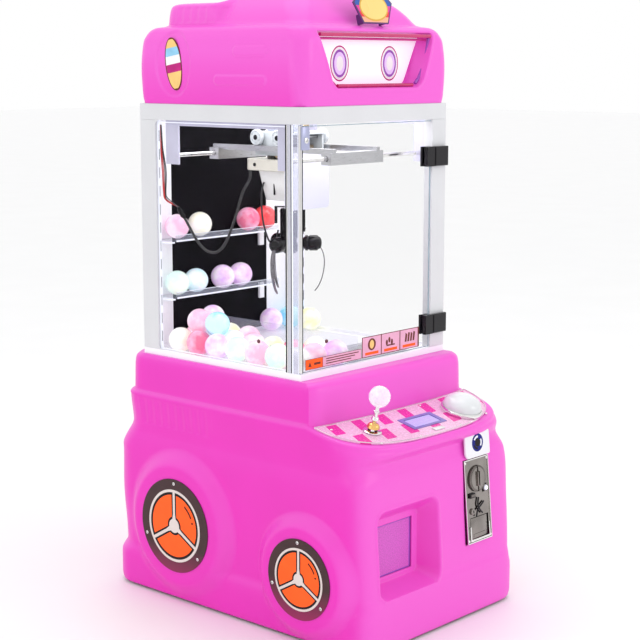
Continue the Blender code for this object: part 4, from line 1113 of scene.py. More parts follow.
def lamp_outline(inset, n=10):
    """Trapezoid with round lower corners, seen from the front, counter-clockwise."""
    z0, z1 = 1.130 + inset, 1.246 - inset
    b, t = 0.140 - inset * 1.3, 0.186 - inset * 1.3
    r = 0.022 - inset * 0.5
    out = []
    for k in range(n + 1):
        a = -math.pi / 2 + (math.pi / 2 - 0.38) * k / n
        out.append((b - r + r * math.cos(a), z0 + r + r * math.sin(a)))
    out.append((t - 0.003, z1 - 0.003))
    out.append((t - 0.005, z1))
    return out + [(-x, z) for x, z in reversed(out)]


panel = lamp_outline(0.0070)
add_prism(bm, [(x, -z) for x, z in panel], 0.0, 0.0030, mx=at(0, -0.1566, 0) @ AXIS_Y)
make("lamp_panel", bm, opal, "cabinet", replaces=["light_panel"], slot="diffuser", sharp=40)


def rail(name, pts, r, mat):
    b = bmesh.new()
    add_tube(b, smooth_route(pts, 40), r, seg=12)
    return make(name, b, mat, "cabinet", sharp=60, slot="pink_moulding")


rail("lamp_rail_top", [(-0.176, -0.1885, 1.2385), (-0.06, -0.1890, 1.2385), (0.06, -0.1890, 1.2385), (0.178, -0.1885, 1.2385)], 0.0040, magenta)
# dark pink strips: painted shade in the tray
rail("lamp_shade_strip_top", [(-0.172, -0.1800, 1.2310), (0.0, -0.1800, 1.2310), (0.172, -0.1800, 1.2310)], 0.0026, shade_pink)
rail("lamp_rail_bottom", [(-0.120, -0.1860, 1.1360), (0.0, -0.1860, 1.1360), (0.122, -0.1860, 1.1360)], 0.0038, magenta)
rail("lamp_rail_right", [(0.1785, -0.1840, 1.236), (0.1740, -0.1840, 1.215), (0.1660, -0.1840, 1.192), (0.1570, -0.1840, 1.170), (0.1470, -0.1840, 1.152), (0.1330, -0.1840, 1.139)], 0.0036, violet)
rail("lamp_shade_strip_left", [(-0.1750, -0.1840, 1.233), (-0.1640, -0.1840, 1.204), (-0.1520, -0.1840, 1.174), (-0.1400, -0.1840, 1.150), (-0.1250, -0.1840, 1.138)], 0.0028, shade_pink)


def ellipse(cx, cz, a, b, n=48, a0=0.0, a1=2 * math.pi):
    return [(cx + a * math.cos(a0 + (a1 - a0) * k / n), cz + b * math.sin(a0 + (a1 - a0) * k / n)) for k in range(n + (0 if abs(a1 - a0 - 2 * math.pi) < 1e-6 else 1))]


def decal(bm, pts, y0, y1, mat):
    """Flat shape in the X-Z plane between y0 (front) and y1."""
    add_prism(bm, [(x, -z) for x, z in pts], 0.0, y1 - y0, mx=at(0, y0, 0) @ AXIS_Y, mat=mat)


def crescent(cx, cz, a, b, thick, a0, a1, n=40):
    outer = [(cx + a * math.cos(a0 + (a1 - a0) * k / n), cz + b * math.sin(a0 + (a1 - a0) * k / n)) for k in range(n + 1)]
    inner = []
    for k in range(n, -1, -1):
        t = a0 + (a1 - a0) * k / n
        w = thick * math.sin(math.pi * k / n) ** 0.6
        inner.append((cx + (a - w) * math.cos(t), cz + (b - w) * math.sin(t)))
    return outer + inner[1:-1]


bm = bmesh.new()
for cx in (-0.080, 0.080):
    cz = 1.181
    decal(bm, ellipse(cx, cz, 0.0290, 0.0365), -0.15675, -0.1566, 0)
    decal(bm, ellipse(cx, cz, 0.0262, 0.0335), -0.15690, -0.15675, 1)
    decal(bm, ellipse(cx, cz, 0.0215, 0.0285), -0.15705, -0.15690, 2)
    decal(bm, ellipse(cx, cz, 0.0170, 0.0232), -0.15720, -0.15705, 3)
    decal(bm, ellipse(cx, cz, 0.0105, 0.0150), -0.15735, -0.15720, 1)
make("lamp_ovals", bm, [ink_rose, ink_white, ink_purple, ink_lilac], "cabinet", slot="diffuser", sharp=40)

# striped oval decals in the side recesses
for sx in (-1, 1):
    bm = bmesh.new()
    fr = Matrix(((0, 0, sx, sx * (0.236 + 0.0057 - 0.0032)), (sx * -1.0, 0, 0, 0.173), (0, 1, 0, 1.180), (0, 0, 0, 1)))
    tilt = Matrix.Rotation(math.radians(9 * sx), 4, "Z")
    def oval(a, b, n=48):
        return [(a * math.cos(2 * math.pi * k / n), b * math.sin(2 * math.pi * k / n)) for k in range(n)]
    add_prism(bm, oval(0.0255, 0.0560), -0.0012, 0.0004, mx=fr @ tilt, mat=0)
    for k, mt in enumerate((1, 2, 3, 4, 5, 1)):
        z0, z1 = 0.0520 - 0.1040 * k / 6, 0.0520 - 0.1040 * (k + 1) / 6
        def w(z):
            return 0.0225 * math.sqrt(max(1 - (z / 0.0535) ** 2, 0.0))
        zz = [z0 + (z1 - z0) * j / 8 for j in range(9)]
        shape = [(w(z), z) for z in zz] + [(-w(z), z) for z in reversed(zz)]
        if shape[0][0] < 1e-4:
            shape = shape[1:-1]
        add_prism(bm, shape, 0.0004, 0.0007, mx=fr @ tilt, mat=mt)
    make("side_oval_decal_" + ("left" if sx < 0 else "right"), bm, [ink_brown, ink_yellow, ink_cyan, ink_white, ink_rose, ink_yellow], "cabinet", slot="wheel_decal", sharp=40)

# plain rainbow badge on the hood
bm = bmesh.new()
BADGE = at(0.004, -0.1760, 1.2955) @ Matrix.Rotation(math.radians(90 - 14), 4, "X")


def hexa(s, top=0.70):
    return [(-0.062 * s, 0.010 * s), (-0.040 * s, -0.034 * s), (0.040 * s, -0.034 * s), (0.062 * s, 0.010 * s), (0.036 * s, 0.036 * s), (-0.036 * s, 0.036 * s)]


add_prism(bm, hexa(1.0), -0.0030, 0.0, mx=BADGE, mat=0)
bands = [(-0.034, -0.022, 1), (-0.022, -0.010, 2), (-0.010, 0.004, 3), (0.004, 0.018, 4), (0.018, 0.036, 5)]


def hexw(z):
    return 0.040 + (0.062 - 0.040) * (z + 0.034) / 0.044 if z < 0.010 else 0.062 + (0.036 - 0.062) * (z - 0.010) / 0.026


for z0, z1, mt in bands:
    zz = [z0, z1] if not z0 < 0.010 < z1 else [z0, 0.010, z1]
    shape = [(hexw(z) * 0.93, z * 0.92) for z in zz] + [(-hexw(z) * 0.93, z * 0.92) for z in reversed(zz)]
    add_prism(bm, shape, 0.0, 0.0003, mx=BADGE, mat=mt)
add_prism(bm, [(0.0450 * math.cos(2 * math.pi * k / 40), 0.0290 * math.sin(2 * math.pi * k / 40)) for k in range(40)], 0.0003, 0.0006, mx=BADGE, mat=6)
add_prism(bm, [(0.0415 * math.cos(2 * math.pi * k / 40), 0.0255 * math.sin(2 * math.pi * k / 40)) for k in range(40)], 0.0006, 0.0008, mx=BADGE, mat=7)
for sx in (-1, 1):
    add_box(bm, (sx * 0.034 - 0.003, -0.033, -0.0200), (sx * 0.034 + 0.003, -0.012, -0.0030), mx=BADGE, mat=0)
make("hood_badge", bm, [look("badge_back", (0.10, 0.03, 0.16), rough=0.3), look("badge_orange", (0.95, 0.45, 0.28), rough=0.3), look("badge_red", (0.86, 0.02, 0.05), rough=0.3),
                        look("badge_pink", (0.80, 0.03, 0.35), rough=0.3), look("badge_blue", (0.02, 0.10, 0.45), rough=0.3), look("badge_teal", (0.03, 0.22, 0.30), rough=0.3),
                        look("badge_rim", (0.75, 0.42, 0.05), rough=0.3), look("badge_yellow", (0.95, 0.70, 0.22), rough=0.3)], "cabinet", slot="wheel_decal", sharp=40)

# ------------------------------------------------------------------ wheel discs
def wheel(name, sx, wy, wz, wr, node):
    """Printed disc standing on the arch face. Local x runs towards the front on the left side."""
    x0 = ARCH_X + GAP
    fr = Matrix(((0, 0, sx, sx * x0), (sx * 1.0, 0, 0, wy), (0, 1, 0, wz), (0, 0, 0, 1)))
    bm = bmesh.new()
    s = wr / 0.0855

    def circle(r, n=72):
        return [(r * math.cos(2 * math.pi * k / n), r * math.sin(2 * math.pi * k / n)) for k in range(n)]

    def ringlet(r0, r1, z0, z1, mt):
        add_turned(bm, [(r1, z0), (r1, z1), (r0, z1), (r0, z0)], seg=72, mx=fr, mat=mt)
    add_prism(bm, circle(wr, 96), 0.0, 0.0014, mx=fr, mat=0)
    R = 0.745 * wr
    ringlet(R - 0.0022 * s, R + 0.0026 * s, 0.0014, 0.0018, 1)
    add_prism(bm, circle(R - 0.0022 * s), 0.0014, 0.0015, mx=fr, mat=2)
    # three sectors between the spokes
    for k in range(3):
        mid = math.radians(30 + 120 * k)
        half = math.radians(60)
        w = 0.0062 * s

        def sector(r0, r1, gap, n=22):
            out = []
            for j in range(n + 1):
                a0 = gap / r1
                a = mid - half + a0 + (2 * half - 2 * a0) * j / n
                out.append((r1 * math.cos(a), r1 * math.sin(a)))
            m = 10
            for j in range(m + 1):
                a0 = min(gap / r0, half * 0.92)
                a = mid + half - a0 - (2 * half - 2 * a0) * j / m
                out.append((r0 * math.cos(a), r0 * math.sin(a)))
            return out
        add_prism(bm, sector(0.200 * wr, R - 0.0070 * s, w), 0.0015, 0.0017, mx=fr, mat=3)
        # highlight dash and dot
        if k == 0 or True:
            rr = R - 0.0150 * s
            a_mid = mid + math.radians(4)
            dash = [((rr + (0.0016 * s)) * math.cos(a_mid + math.radians(v)), (rr + 0.0016 * s) * math.sin(a_mid + math.radians(v))) for v in spaced(-8, 22, 8)] \
                + [((rr - (0.0016 * s)) * math.cos(a_mid + math.radians(v)), (rr - 0.0016 * s) * math.sin(a_mid + math.radians(v))) for v in reversed(spaced(-8, 22, 8))]
            if k == 0:
                add_prism(bm, dash, 0.0017, 0.0018, mx=fr, mat=2)
                a = a_mid - math.radians(18)
                add_prism(bm, [(rr * math.cos(a) + 0.0022 * s * math.cos(t), rr * math.sin(a) + 0.0022 * s * math.sin(t)) for t in spaced(0, 2 * math.pi, 12)[:-1]], 0.0017, 0.0018, mx=fr, mat=2)
    # spokes at twelve, four and eight o'clock, and the hub
    for k in range(3):
        rot = Matrix.Rotation(math.radians(90 + 120 * k), 4, "Z")
        add_box(bm, (0.0, -0.0027 * s, 0.0014), (R, 0.0027 * s, 0.00185), mx=fr @ rot, mat=1)
        add_prism(bm, [(0.10 * wr, -0.0050 * s), (0.245 * wr, -0.0027 * s), (0.245 * wr, 0.0027 * s), (0.10 * wr, 0.0050 * s)], 0.0014, 0.0019, mx=fr @ rot, mat=1)
    add_prism(bm, circle(0.150 * wr, 40), 0.0014, 0.0020, mx=fr, mat=1)
    ringlet(R - 0.0036 * s, R - 0.0022 * s, 0.0014, 0.0017, 2)
    for a in (92, 197, 322) if wr < 0.09 else (90, 200, 320):
        c = fr @ at(0.905 * wr * math.cos(math.radians(a)), 0.905 * wr * math.sin(math.radians(a)), 0)
        add_turned(bm, [(0, 0.0014), (0.0037, 0.0014), (0.0037, 0.0019), (0.0030, 0.0024), (0.0012, 0.0026), (0, 0.0026)], seg=20, mx=c, mat=4)
        add_box(bm, (-0.0022, -0.0004, 0.0021), (0.0022, 0.0004, 0.00268), mx=c, mat=5)
        add_box(bm, (-0.0004, -0.0022, 0.0021), (0.0004, 0.0022, 0.00268), mx=c, mat=5)
    make(name, bm, [disc_brown, look("wheel_print_white", (0.76, 0.68, 0.64), rough=0.3, coat=0.3), ink_black, ink_orange, chrome, black_satin], "cabinet", replaces=[node], slot="wheel_decal", sharp=40)


for side, sx in (("left", -1), ("right", 1)):
    for pos, (wy, wz, wr) in WHEELS.items():
        wheel(f"wheel_print_{pos}_{side}", sx, wy, wz, wr, f"wheel_disc_{pos}_{side}")

# ------------------------------------------------------------------ control deck
NRM = Vector((0, -math.sin(DECK_TILT), math.cos(DECK_TILT)))


def deck_outline(a, b, back_end, bow, n=2.9, k=96):
    pts = []
    for i in range(k + 1):
        p = math.pi * i / k
        c, s = math.cos(p), math.sin(p)
        r = 1.0 / ((abs(c) ** n + abs(s) ** n) ** (1.0 / n))
        x, y = a * r * c, FRONT_YC - b * r * s
        if y < back_end - 0.003:
            pts.append((x, y))
    e = pts[0][0]
    back_pts = [(-e * f, back_end - bow * (1 - f * f)) for f in [1 - 2 * i / 40 for i in range(41)]]
    return pts + back_pts


def on_deck(x, y, h):
    return tuple(Vector((x, y, deck_z(y))) + NRM * h)


def deck_hole(cx, cy, r=None, half=None, n=48):
    if r:
        return [(cx + r * math.cos(-2 * math.pi * k / n), cy + r * math.sin(-2 * math.pi * k / n)) for k in range(n)]
    hx_, hy_ = half
    return [(cx - hx_, cy - hy_), (cx - hx_, cy + hy_), (cx + hx_, cy + hy_), (cx + hx_, cy - hy_)]


COS = math.cos(DECK_TILT)
outer = deck_outline(0.250, 0.1460, -0.2405, 0.0100)
holes = [deck_hole(JOY[0], JOY[1], r=0.016), deck_hole(BUTTON[0], BUTTON[1], r=0.0165), deck_hole(LCD[0], LCD[1], half=(0.051, 0.021 * COS))]


def plate_with_holes(bm, outer, holes, h0, h1, mat=0):
    t = bmesh.new()
    loops = []
    for pts in [outer] + holes:
        vs = [t.verts.new((x, y, 0)) for x, y in pts]
        es = [t.edges.new((vs[i], vs[(i + 1) % len(vs)])) for i in range(len(vs))]
        loops.append(es)
    bmesh.ops.triangle_fill(t, use_beauty=True, edges=[e for l in loops for e in l])
    for v in t.verts:
        v.co = Vector(on_deck(v.co.x, v.co.y, h0))
    up = bmesh.ops.extrude_face_region(t, geom=list(t.faces))
    for v in up["geom"]:
        if isinstance(v, bmesh.types.BMVert):
            v.co += NRM * (h1 - h0)
    merge(bm, t, None, mat)


bm = bmesh.new()
plate_with_holes(bm, outer, holes, -0.0030, -0.0002, 0)
deck = make("deck_sheet", bm, deck_look, "cabinet", replaces=["deck_panel"], slot="deck_print", sharp=40)
# bright trim round the sheet and small screws along it
bm = bmesh.new()
trim = [on_deck(x, y, 0.0004) for x, y in deck_outline(0.2490, 0.1450, -0.2413, 0.0098)]
t = bmesh.new()
loop = [Vector(p) for p in trim]
prof = [(-0.0014, -0.0006), (0.0012, -0.0006), (0.0009, 0.0010), (-0.0010, 0.0010)]
rowsv = []
for i, p in enumerate(loop):
    d = (loop[(i + 1) % len(loop)] - loop[i - 1]).normalized()
    side = d.cross(NRM).normalized()
    rowsv.append([t.verts.new(p + side * a + NRM * b) for a, b in prof])
for i in range(len(rowsv)):
    a, b = rowsv[i], rowsv[(i + 1) % len(rowsv)]
    for k in range(4):
        j = (k + 1) % 4
        t.faces.new((a[k], a[j], b[j], b[k]))
merge(bm, t, None, 0)
for x, y in ((-0.222, -0.262), (-0.172, -0.352), (-0.060, -0.364), (0.075, -0.364), (0.185, -0.350), (0.224, -0.262), (-0.075, -0.258), (0.070, -0.258)):
    add_turned(bm, [(0, -0.0002), (0.0030, -0.0002), (0.0028, 0.0006), (0.0016, 0.0012), (0, 0.0012)], seg=18, mx=deck_mx(x, y), mat=1)
make("deck_trim", bm, [look("trim_gloss", (0.80, 0.62, 0.72), rough=0.14, metal=0.6, var=0.05, scale=40.0), chrome], "cabinet", slot="deck_print", sharp=50)

# display: bezel, lit window with two rows of plain cells, bare label strip in front of it
LM = deck_mx(*LCD)
bm = bmesh.new()
add_box(bm, (-0.0505, -0.0205, -0.0150), (0.0505, 0.0205, -0.0016), mx=LM, bevel=0.0008, mat=0)
for lo, hi in (((-0.0540, -0.0245, 0.0001), (0.0540, -0.0170, 0.0012)), ((-0.0540, 0.0170, 0.0001), (0.0540, 0.0245, 0.0012)),
               ((-0.0540, -0.0170, 0.0001), (-0.0430, 0.0170, 0.0012)), ((0.0430, -0.0170, 0.0001), (0.0540, 0.0170, 0.0012))):
    add_box(bm, lo, hi, mx=LM, mat=1)
add_box(bm, (-0.0430, -0.0170, -0.0016), (0.0430, 0.0170, -0.0004), mx=LM, mat=2)
for k in range(2):
    for j in range(14):
        add_box(bm, (-0.037 + j * 0.0054, 0.0035 - k * 0.0125, -0.0004), (-0.0334 + j * 0.0054, 0.0090 - k * 0.0125, -0.0003), mx=LM, mat=3)
make("display_unit", bm, [black_satin, look("display_bezel", (0.20, 0.16, 0.52), rough=0.3, coat=0.3, var=0.1), lcd_look, look("display_cells", (0.38, 0.29, 0.80), rough=0.3, emit=0.35, emit_rgb=(0.5, 0.4, 1.0))],
     "cabinet", replaces=["display_module"], slot="display", sharp=40)
bm = bmesh.new()
add_box(bm, (-0.0160, -0.0060, 0.0001), (0.0160, 0.0060, 0.0022), mx=deck_mx(0.009, -0.3560), bevel=0.0008)
make("deck_label", bm, white_gloss, "cabinet", slot="white_plastic")

# joystick: square body under the deck, gimbal, shaft with its dust washer, crystal ball full of bubbles
JM = deck_mx(*JOY)
bm = bmesh.new()
t = bmesh.new()
o, i_ = 0.0195, 0.0170
sq = lambda h, z: [t.verts.new((sx * h, sy * h, z)) for sx, sy in ((-1, -1), (1, -1), (1, 1), (-1, 1))]
r0, r1, r2, r3 = sq(o, -0.042), sq(o, -0.0034), sq(i_, -0.0034), sq(i_, -0.038)
for a, b in ((r0, r1), (r1, r2), (r2, r3)):
    for k in range(4):
        t.faces.new((a[k], a[(k + 1) % 4], b[(k + 1) % 4], b[k]))
t.faces.new(r0)
t.faces.new(r3)
merge(bm, t, JM, 0)
for sx, sy in ((-1, 0), (1, 0), (0, -1), (0, 1)):
    add_box(bm, (sx * 0.0215 - 0.0065 * (sy != 0) - 0.0018 * (sx != 0), sy * 0.0215 - 0.0065 * (sx != 0) - 0.0018 * (sy != 0), -0.040),
            (sx * 0.0215 + 0.0065 * (sy != 0) + 0.0018 * (sx != 0), sy * 0.0215 + 0.0065 * (sx != 0) + 0.0018 * (sy != 0), -0.028), mx=JM, mat=1)
make("joystick_body", bm, [black_satin, look("switch_body", (0.35, 0.02, 0.02), rough=0.4)], "cabinet", replaces=["joystick_base"], slot="black_plastic", sharp=40)
bm = bmesh.new()
add_turned(bm, [(0.0135, -0.0140), (0.0135, -0.0100), (0.0090, -0.0100), (0.0090, -0.0140)], seg=40, mx=JM)
make("joystick_ring", bm, steel, "gimbal", replaces=["joystick_gimbal"], slot="steel", sharp=40)
bm = bmesh.new()
add_turned(bm, [(0, 0.0560), (0.0040, 0.0560), (0.0046, 0.0535), (0.0046, 0.0475), (0.0064, 0.0468), (0.0064, 0.0440), (0.0048, 0.0432), (0.0045, 0.0340), (0.0062, 0.0330), (0.0078, 0.0300),
                (0.0078, 0.0270), (0.0056, 0.0255), (0.0045, 0.0240), (0.0045, 0.0030), (0.0060, 0.0010), (0.0060, -0.0060), (0.0040, -0.0080), (0.0040, -0.0260), (0, -0.0260)], seg=36, mx=JM, mat=0)
add_turned(bm, [(0.0047, 0.0196), (0.0105, 0.0176), (0.0130, 0.0136), (0.0136, 0.0094), (0.0127, 0.0092), (0.0105, 0.0126), (0.0047, 0.0156)], seg=36, mx=JM, mat=1)
make("joystick_stem", bm, [chrome, brass_hot], "stick", replaces=["joystick_shaft"], slot="chrome", sharp=40)
# flat ring on the deck round the hole; the shaft tilts inside it
bm = bmesh.new()
add_turned(bm, [(0.0106, 0.0034), (0.0185, 0.0030), (0.0196, 0.0022), (0.0196, 0.0014), (0.0106, 0.0014)], seg=48, mx=JM)
make("joystick_washer", bm, chrome, "cabinet", slot="chrome", sharp=40)
bm = bmesh.new()
add_turned(bm, [(0, 0.1005)] + [(0.0225 * math.sin(math.radians(a)), 0.078 + 0.0225 * math.cos(math.radians(a))) for a in range(6, 163, 6)] + [(0.0062, 0.0563), (0, 0.0563)], seg=48, mx=JM, mat=0)
# bubbles in the ball, glowing white and tinted specks: painted glints
rng = np.random.RandomState(4)
for k in range(70):
    v = rng.normal(size=3)
    v = v / np.linalg.norm(v) * (0.0150 + 0.0062 * rng.rand())
    c = JM @ at(v[0], v[1], 0.078 + v[2])
    rr = 0.0009 + 0.0014 * rng.rand()
    t = bmesh.new()
    bmesh.ops.create_icosphere(t, subdivisions=2, radius=rr)
    merge(bm, t, c, 1 + (k % 3))
make("joystick_crystal", bm, [crystal, look("bubble_white", (0.95, 0.93, 0.98), rough=0.1, emit=0.5), look("bubble_rose", (0.90, 0.55, 0.78), rough=0.1, emit=0.4), look("bubble_blue", (0.70, 0.66, 0.95), rough=0.1, emit=0.4)],
     "stick", replaces=["joystick_ball"], slot="crystal", sharp=60)

# play button: chrome ring and pearl dome
BM = deck_mx(*BUTTON)
bm = bmesh.new()
add_turned(bm, [(0.0458, 0.0080), (0.0463, 0.0070), (0.0465, 0.0058), (0.0465, 0.0012), (0.0462, GAP), (0.0158, GAP), (0.0158, -0.036), (0.0088, -0.036),
                (0.0088, 0.0028), (0.0428, 0.0028), (0.0428, 0.0093), (0.0431, 0.0095), (0.0447, 0.0095), (0.0451, 0.0093)], seg=96, mx=BM)
make("button_bezel", bm, chrome, "cabinet", replaces=["button_ring"], slot="chrome", sharp=30)
bm = bmesh.new()
add_turned(bm, [(0, 0.0385)] + [(0.0420 * math.sin(math.radians(a)), 0.0125 + 0.026 * math.cos(math.radians(a))) for a in range(4, 90, 4)]
           + [(0.0420, 0.0120), (0.0420, 0.0078), (0.0080, 0.0078), (0.0080, -0.020), (0, -0.020)], seg=96, mx=BM, mat=0)
make("button_pearl", bm, pearl, "play_button", replaces=["button_dome"], slot="dome_pearl", sharp=50)

# ------------------------------------------------------------------ coin unit
CM_ = COIN_MX


def uvw(lo, hi, bevel=0.0, mat=0, b=None, mx=None):
    add_box(b, lo, hi, mx=(CM_ if mx is None else CM_ @ mx), bevel=bevel, mat=mat)


bm = bmesh.new()
# face plate with the cut-outs, built round them
SLOT_U, SLOT_W = 0.0, 0.045
uvw((-0.0430, 0.0000, -0.0925), (-0.0305, 0.0035, 0.0900), b=bm, mat=0)
uvw((0.0345, 0.0000, -0.0925), (0.0430, 0.0035, 0.0900), b=bm, mat=0)
uvw((-0.0305, 0.0000, -0.0925), (0.0345, 0.0035, -0.0855), b=bm, mat=0)
uvw((-0.0305, 0.0000, -0.0375), (0.0345, 0.0035, 0.0115), b=bm, mat=0)
uvw((-0.0305, 0.0000, 0.0115), (0.0175, 0.0035, 0.0290), b=bm, mat=0)
uvw((-0.0305, 0.0000, 0.0290), (-0.0022, 0.0035, 0.0610), b=bm, mat=0)
uvw((0.0022, 0.0000, 0.0290), (0.0345, 0.0035, 0.0610), b=bm, mat=0)
uvw((-0.0305, 0.0000, 0.0610), (0.0345, 0.0035, 0.0900), b=bm, mat=0)
uvw((-0.0425, 0.0035, -0.0920), (-0.0310, 0.0545, 0.0895), b=bm, mat=1)
uvw((0.0350, 0.0035, -0.0920), (0.0425, 0.0545, 0.0895), b=bm, mat=1)
uvw((-0.0310, 0.0480, -0.0920), (0.0350, 0.0545, 0.0895), b=bm, mat=1)
uvw((-0.0310, 0.0035, -0.0370), (0.0350, 0.0480, -0.0340), b=bm, mat=1)
# folded rim of the plate
for lo, hi in (((-0.0430, -0.0019, -0.0925), (-0.0412, 0.0010, 0.0900)), ((0.0412, -0.0020, -0.0925), (0.0430, 0.0010, 0.0900)),
               ((-0.0412, -0.0020, -0.0925), (0.0412, 0.0010, -0.0905)), ((-0.0412, -0.0020, 0.0880), (0.0412, 0.0010, 0.0900))):
    uvw(lo, hi, b=bm, mat=2)
make("coin_face", bm, [face_metal_painted_reflection, black_satin, chrome], "cabinet", replaces=["coin_mech"], slot="chrome", sharp=30)

bm = bmesh.new()
# dark round coin entry, in two halves with the slot between them
ent = [(0, 0.0), (0.0300, 0.0), (0.0300, 0.0016), (0.0270, 0.0030), (0, 0.0034)]
EN = CM_ @ at(0, 0, SLOT_W) @ AXIS_YN
for sx in (-1, 1):
    half = [(sx * 0.0016, -0.0265)] + [(sx * 0.0290 * math.cos(a), 0.0290 * math.sin(a)) for a in spaced(-1.50, 1.50, 26)] + [(sx * 0.0016, 0.0265)]
    add_prism(bm, half, 0.0, 0.0042, mx=EN, mat=0, bevel=0.0014)
    add_prism(bm, [(sx * 0.0026 if abs(x) < 0.002 else x * 0.80, z * 0.84) for x, z in half], 0.0042, 0.0046, mx=EN, mat=1)
# funnel lips beside the slot
for sx in (-1, 1):
    add_box(bm, (sx * 0.0032 - 0.0012, -0.0085, 0.0290), (sx * 0.0032 + 0.0012, -0.0042, 0.0610), mx=CM_, bevel=0.0005, mat=1)
# return levers and guides in black
add_box(bm, (-0.0310, -0.0040, 0.0030), (-0.0150, 0.0, 0.0075), mx=CM_ @ Matrix.Rotation(math.radians(12), 4, "Y"), bevel=0.0008, mat=2)
for p in ([(0.000, -0.0025, 0.004), (-0.004, -0.0030, -0.012), (0.002, -0.0035, -0.024), (0.010, -0.0035, -0.032)],
          [(0.018, -0.0025, -0.008), (0.008, -0.0030, -0.014), (-0.006, -0.0035, -0.022), (-0.012, -0.0035, -0.036)]):
    add_tube(bm, [tuple(CM_ @ Vector(q)) for q in smooth_route(p, 14)], 0.0018, seg=8, mat=2)
add_box(bm, (-0.0300, -0.0045, 0.0060), (-0.0120, 0.0, 0.0165), mx=CM_, bevel=0.0010, mat=2)
add_box(bm, (-0.0275, -0.0052, 0.0085), (-0.0145, -0.0045, 0.0140), mx=CM_, mat=0)
# lock beside the reject button
add_turned(bm, [(0, -0.0010), (0.0070, -0.0010), (0.0070, 0.0034), (0.0058, 0.0044), (0, 0.0044)], seg=28, mx=CM_ @ at(-0.0215, 0, -0.0240) @ AXIS_YN, mat=1)
add_box(bm, (-0.0222, -0.0052, -0.0270), (-0.0208, -0.0043, -0.0210), mx=CM_, mat=2)
# screws in the corners
for u, w in ((-0.0370, -0.0865), (0.0385, -0.0865), (-0.0370, 0.0835), (0.0385, 0.0835)):
    c = CM_ @ at(u, 0, w) @ AXIS_YN
    add_turned(bm, [(0, -0.0010), (0.0030, -0.0010), (0.0030, 0.0006), (0.0020, 0.0012), (0, 0.0012)], seg=18, mx=c, mat=3)
# return cup: rounded lip in polished metal
add_box(bm, (-0.0330, -0.0023, -0.0890), (0.0370, 0.0, -0.0845), mx=CM_, bevel=0.0008, mat=3)
for u in (-0.0330, 0.0335):
    add_box(bm, (u, -0.0026, -0.0860), (u + 0.0035, 0.0, -0.0560), mx=CM_, bevel=0.0008, mat=3)
make("coin_entry", bm, [look("entry_dark", (0.16, 0.14, 0.13), rough=0.22, metal=0.9, var=0.2, scale=60.0), face_metal_painted_reflection, black_satin, chrome], "cabinet", slot="chrome", sharp=35)
bm = bmesh.new()
add_turned(bm, [(0, -0.0060), (0.0070, -0.0060), (0.0070, 0.0120), (0.0060, 0.0132), (0, 0.0135)], seg=32, mx=CM_ @ at(0.026, -0.0060 + 0.0060, 0.020) @ AXIS_YN @ at(0, 0, -0.0080), mat=0)
add_turned(bm, [(0, 0.0135), (0.0042, 0.0135), (0.0038, 0.0146), (0, 0.0150)], seg=24, mx=CM_ @ at(0.026, 0, 0.020) @ AXIS_YN @ at(0, 0, -0.0080), mat=1)
make("coin_reject_knob", bm, [steel, look("reject_light", (0.75, 0.70, 1.0), rough=0.3, emit=1.6, emit_rgb=(0.8, 0.75, 1.0))], "reject_button", replaces=["coin_reject_button"], slot="steel", sharp=35)
bm = bmesh.new()
add_box(bm, (-0.0290, 0.0002, -0.0835), (0.0290, 0.0016, -0.0390), mx=CM_, bevel=0.0005)
add_box(bm, (-0.0200, -0.0006, -0.0800), (0.0200, 0.0004, -0.0740), mx=CM_, bevel=0.0004)
make("coin_return_door", bm, [face_metal_painted_reflection], "return_flap", replaces=["coin_return_flap"], slot="steel", sharp=35)
# white plate above the coin face with a round two-tone motif
bm = bmesh.new()
plate = [(-0.0430, 0.0935), (-0.0430 + 0.0, 0.0935)]
pts = [(-0.0350, 0.0935), (0.0400, 0.0935), (0.0430, 0.0965)] + [(0.0430 - 0.009 + 0.009 * math.cos(a), 0.1500 - 0.009 + 0.009 * math.sin(a)) for a in spaced(0, math.pi / 2, 8)] \
    + [(-0.0430 + 0.009 + 0.009 * math.cos(a), 0.1500 - 0.009 + 0.009 * math.sin(a)) for a in spaced(math.pi / 2, math.pi, 8)] + [(-0.0430, 0.1060), (-0.0420, 0.1010)]
add_prism(bm, pts, 0.0040, 0.0080, mx=CM_ @ AXIS_YN, mat=0, bevel=0.0006)
disc = [(0.0195 * math.cos(a), 0.1240 + 0.0195 * math.sin(a)) for a in spaced(0, 2 * math.pi, 40)[:-1]]
add_prism(bm, disc, 0.0080, 0.0083, mx=CM_ @ AXIS_YN, mat=1)
for k in range(3):
    a0 = math.radians(200 + 120 * k)
    arc = [(0.0150 * math.cos(a0 + v), 0.1240 + 0.0150 * math.sin(a0 + v)) for v in spaced(0, 1.2, 10)] + [(0.0105 * math.cos(a0 + v), 0.1240 + 0.0105 * math.sin(a0 + v)) for v in reversed(spaced(0, 1.2, 10))]
    add_prism(bm, arc, 0.0083, 0.0085, mx=CM_ @ AXIS_YN, mat=0 if k else 2)
half = [(0.0090 * math.cos(a), 0.1240 + 0.0090 * math.sin(a)) for a in spaced(0, 2 * math.pi, 30)[:-1]]
add_prism(bm, half, 0.0083, 0.0086, mx=CM_ @ AXIS_YN, mat=2)
make("coin_top_plate", bm, [look("plate_white", (0.84, 0.84, 0.88), rough=0.3, coat=0.2, var=0.02), ink_blue, ink_black], "cabinet", slot="white_plastic", sharp=40)

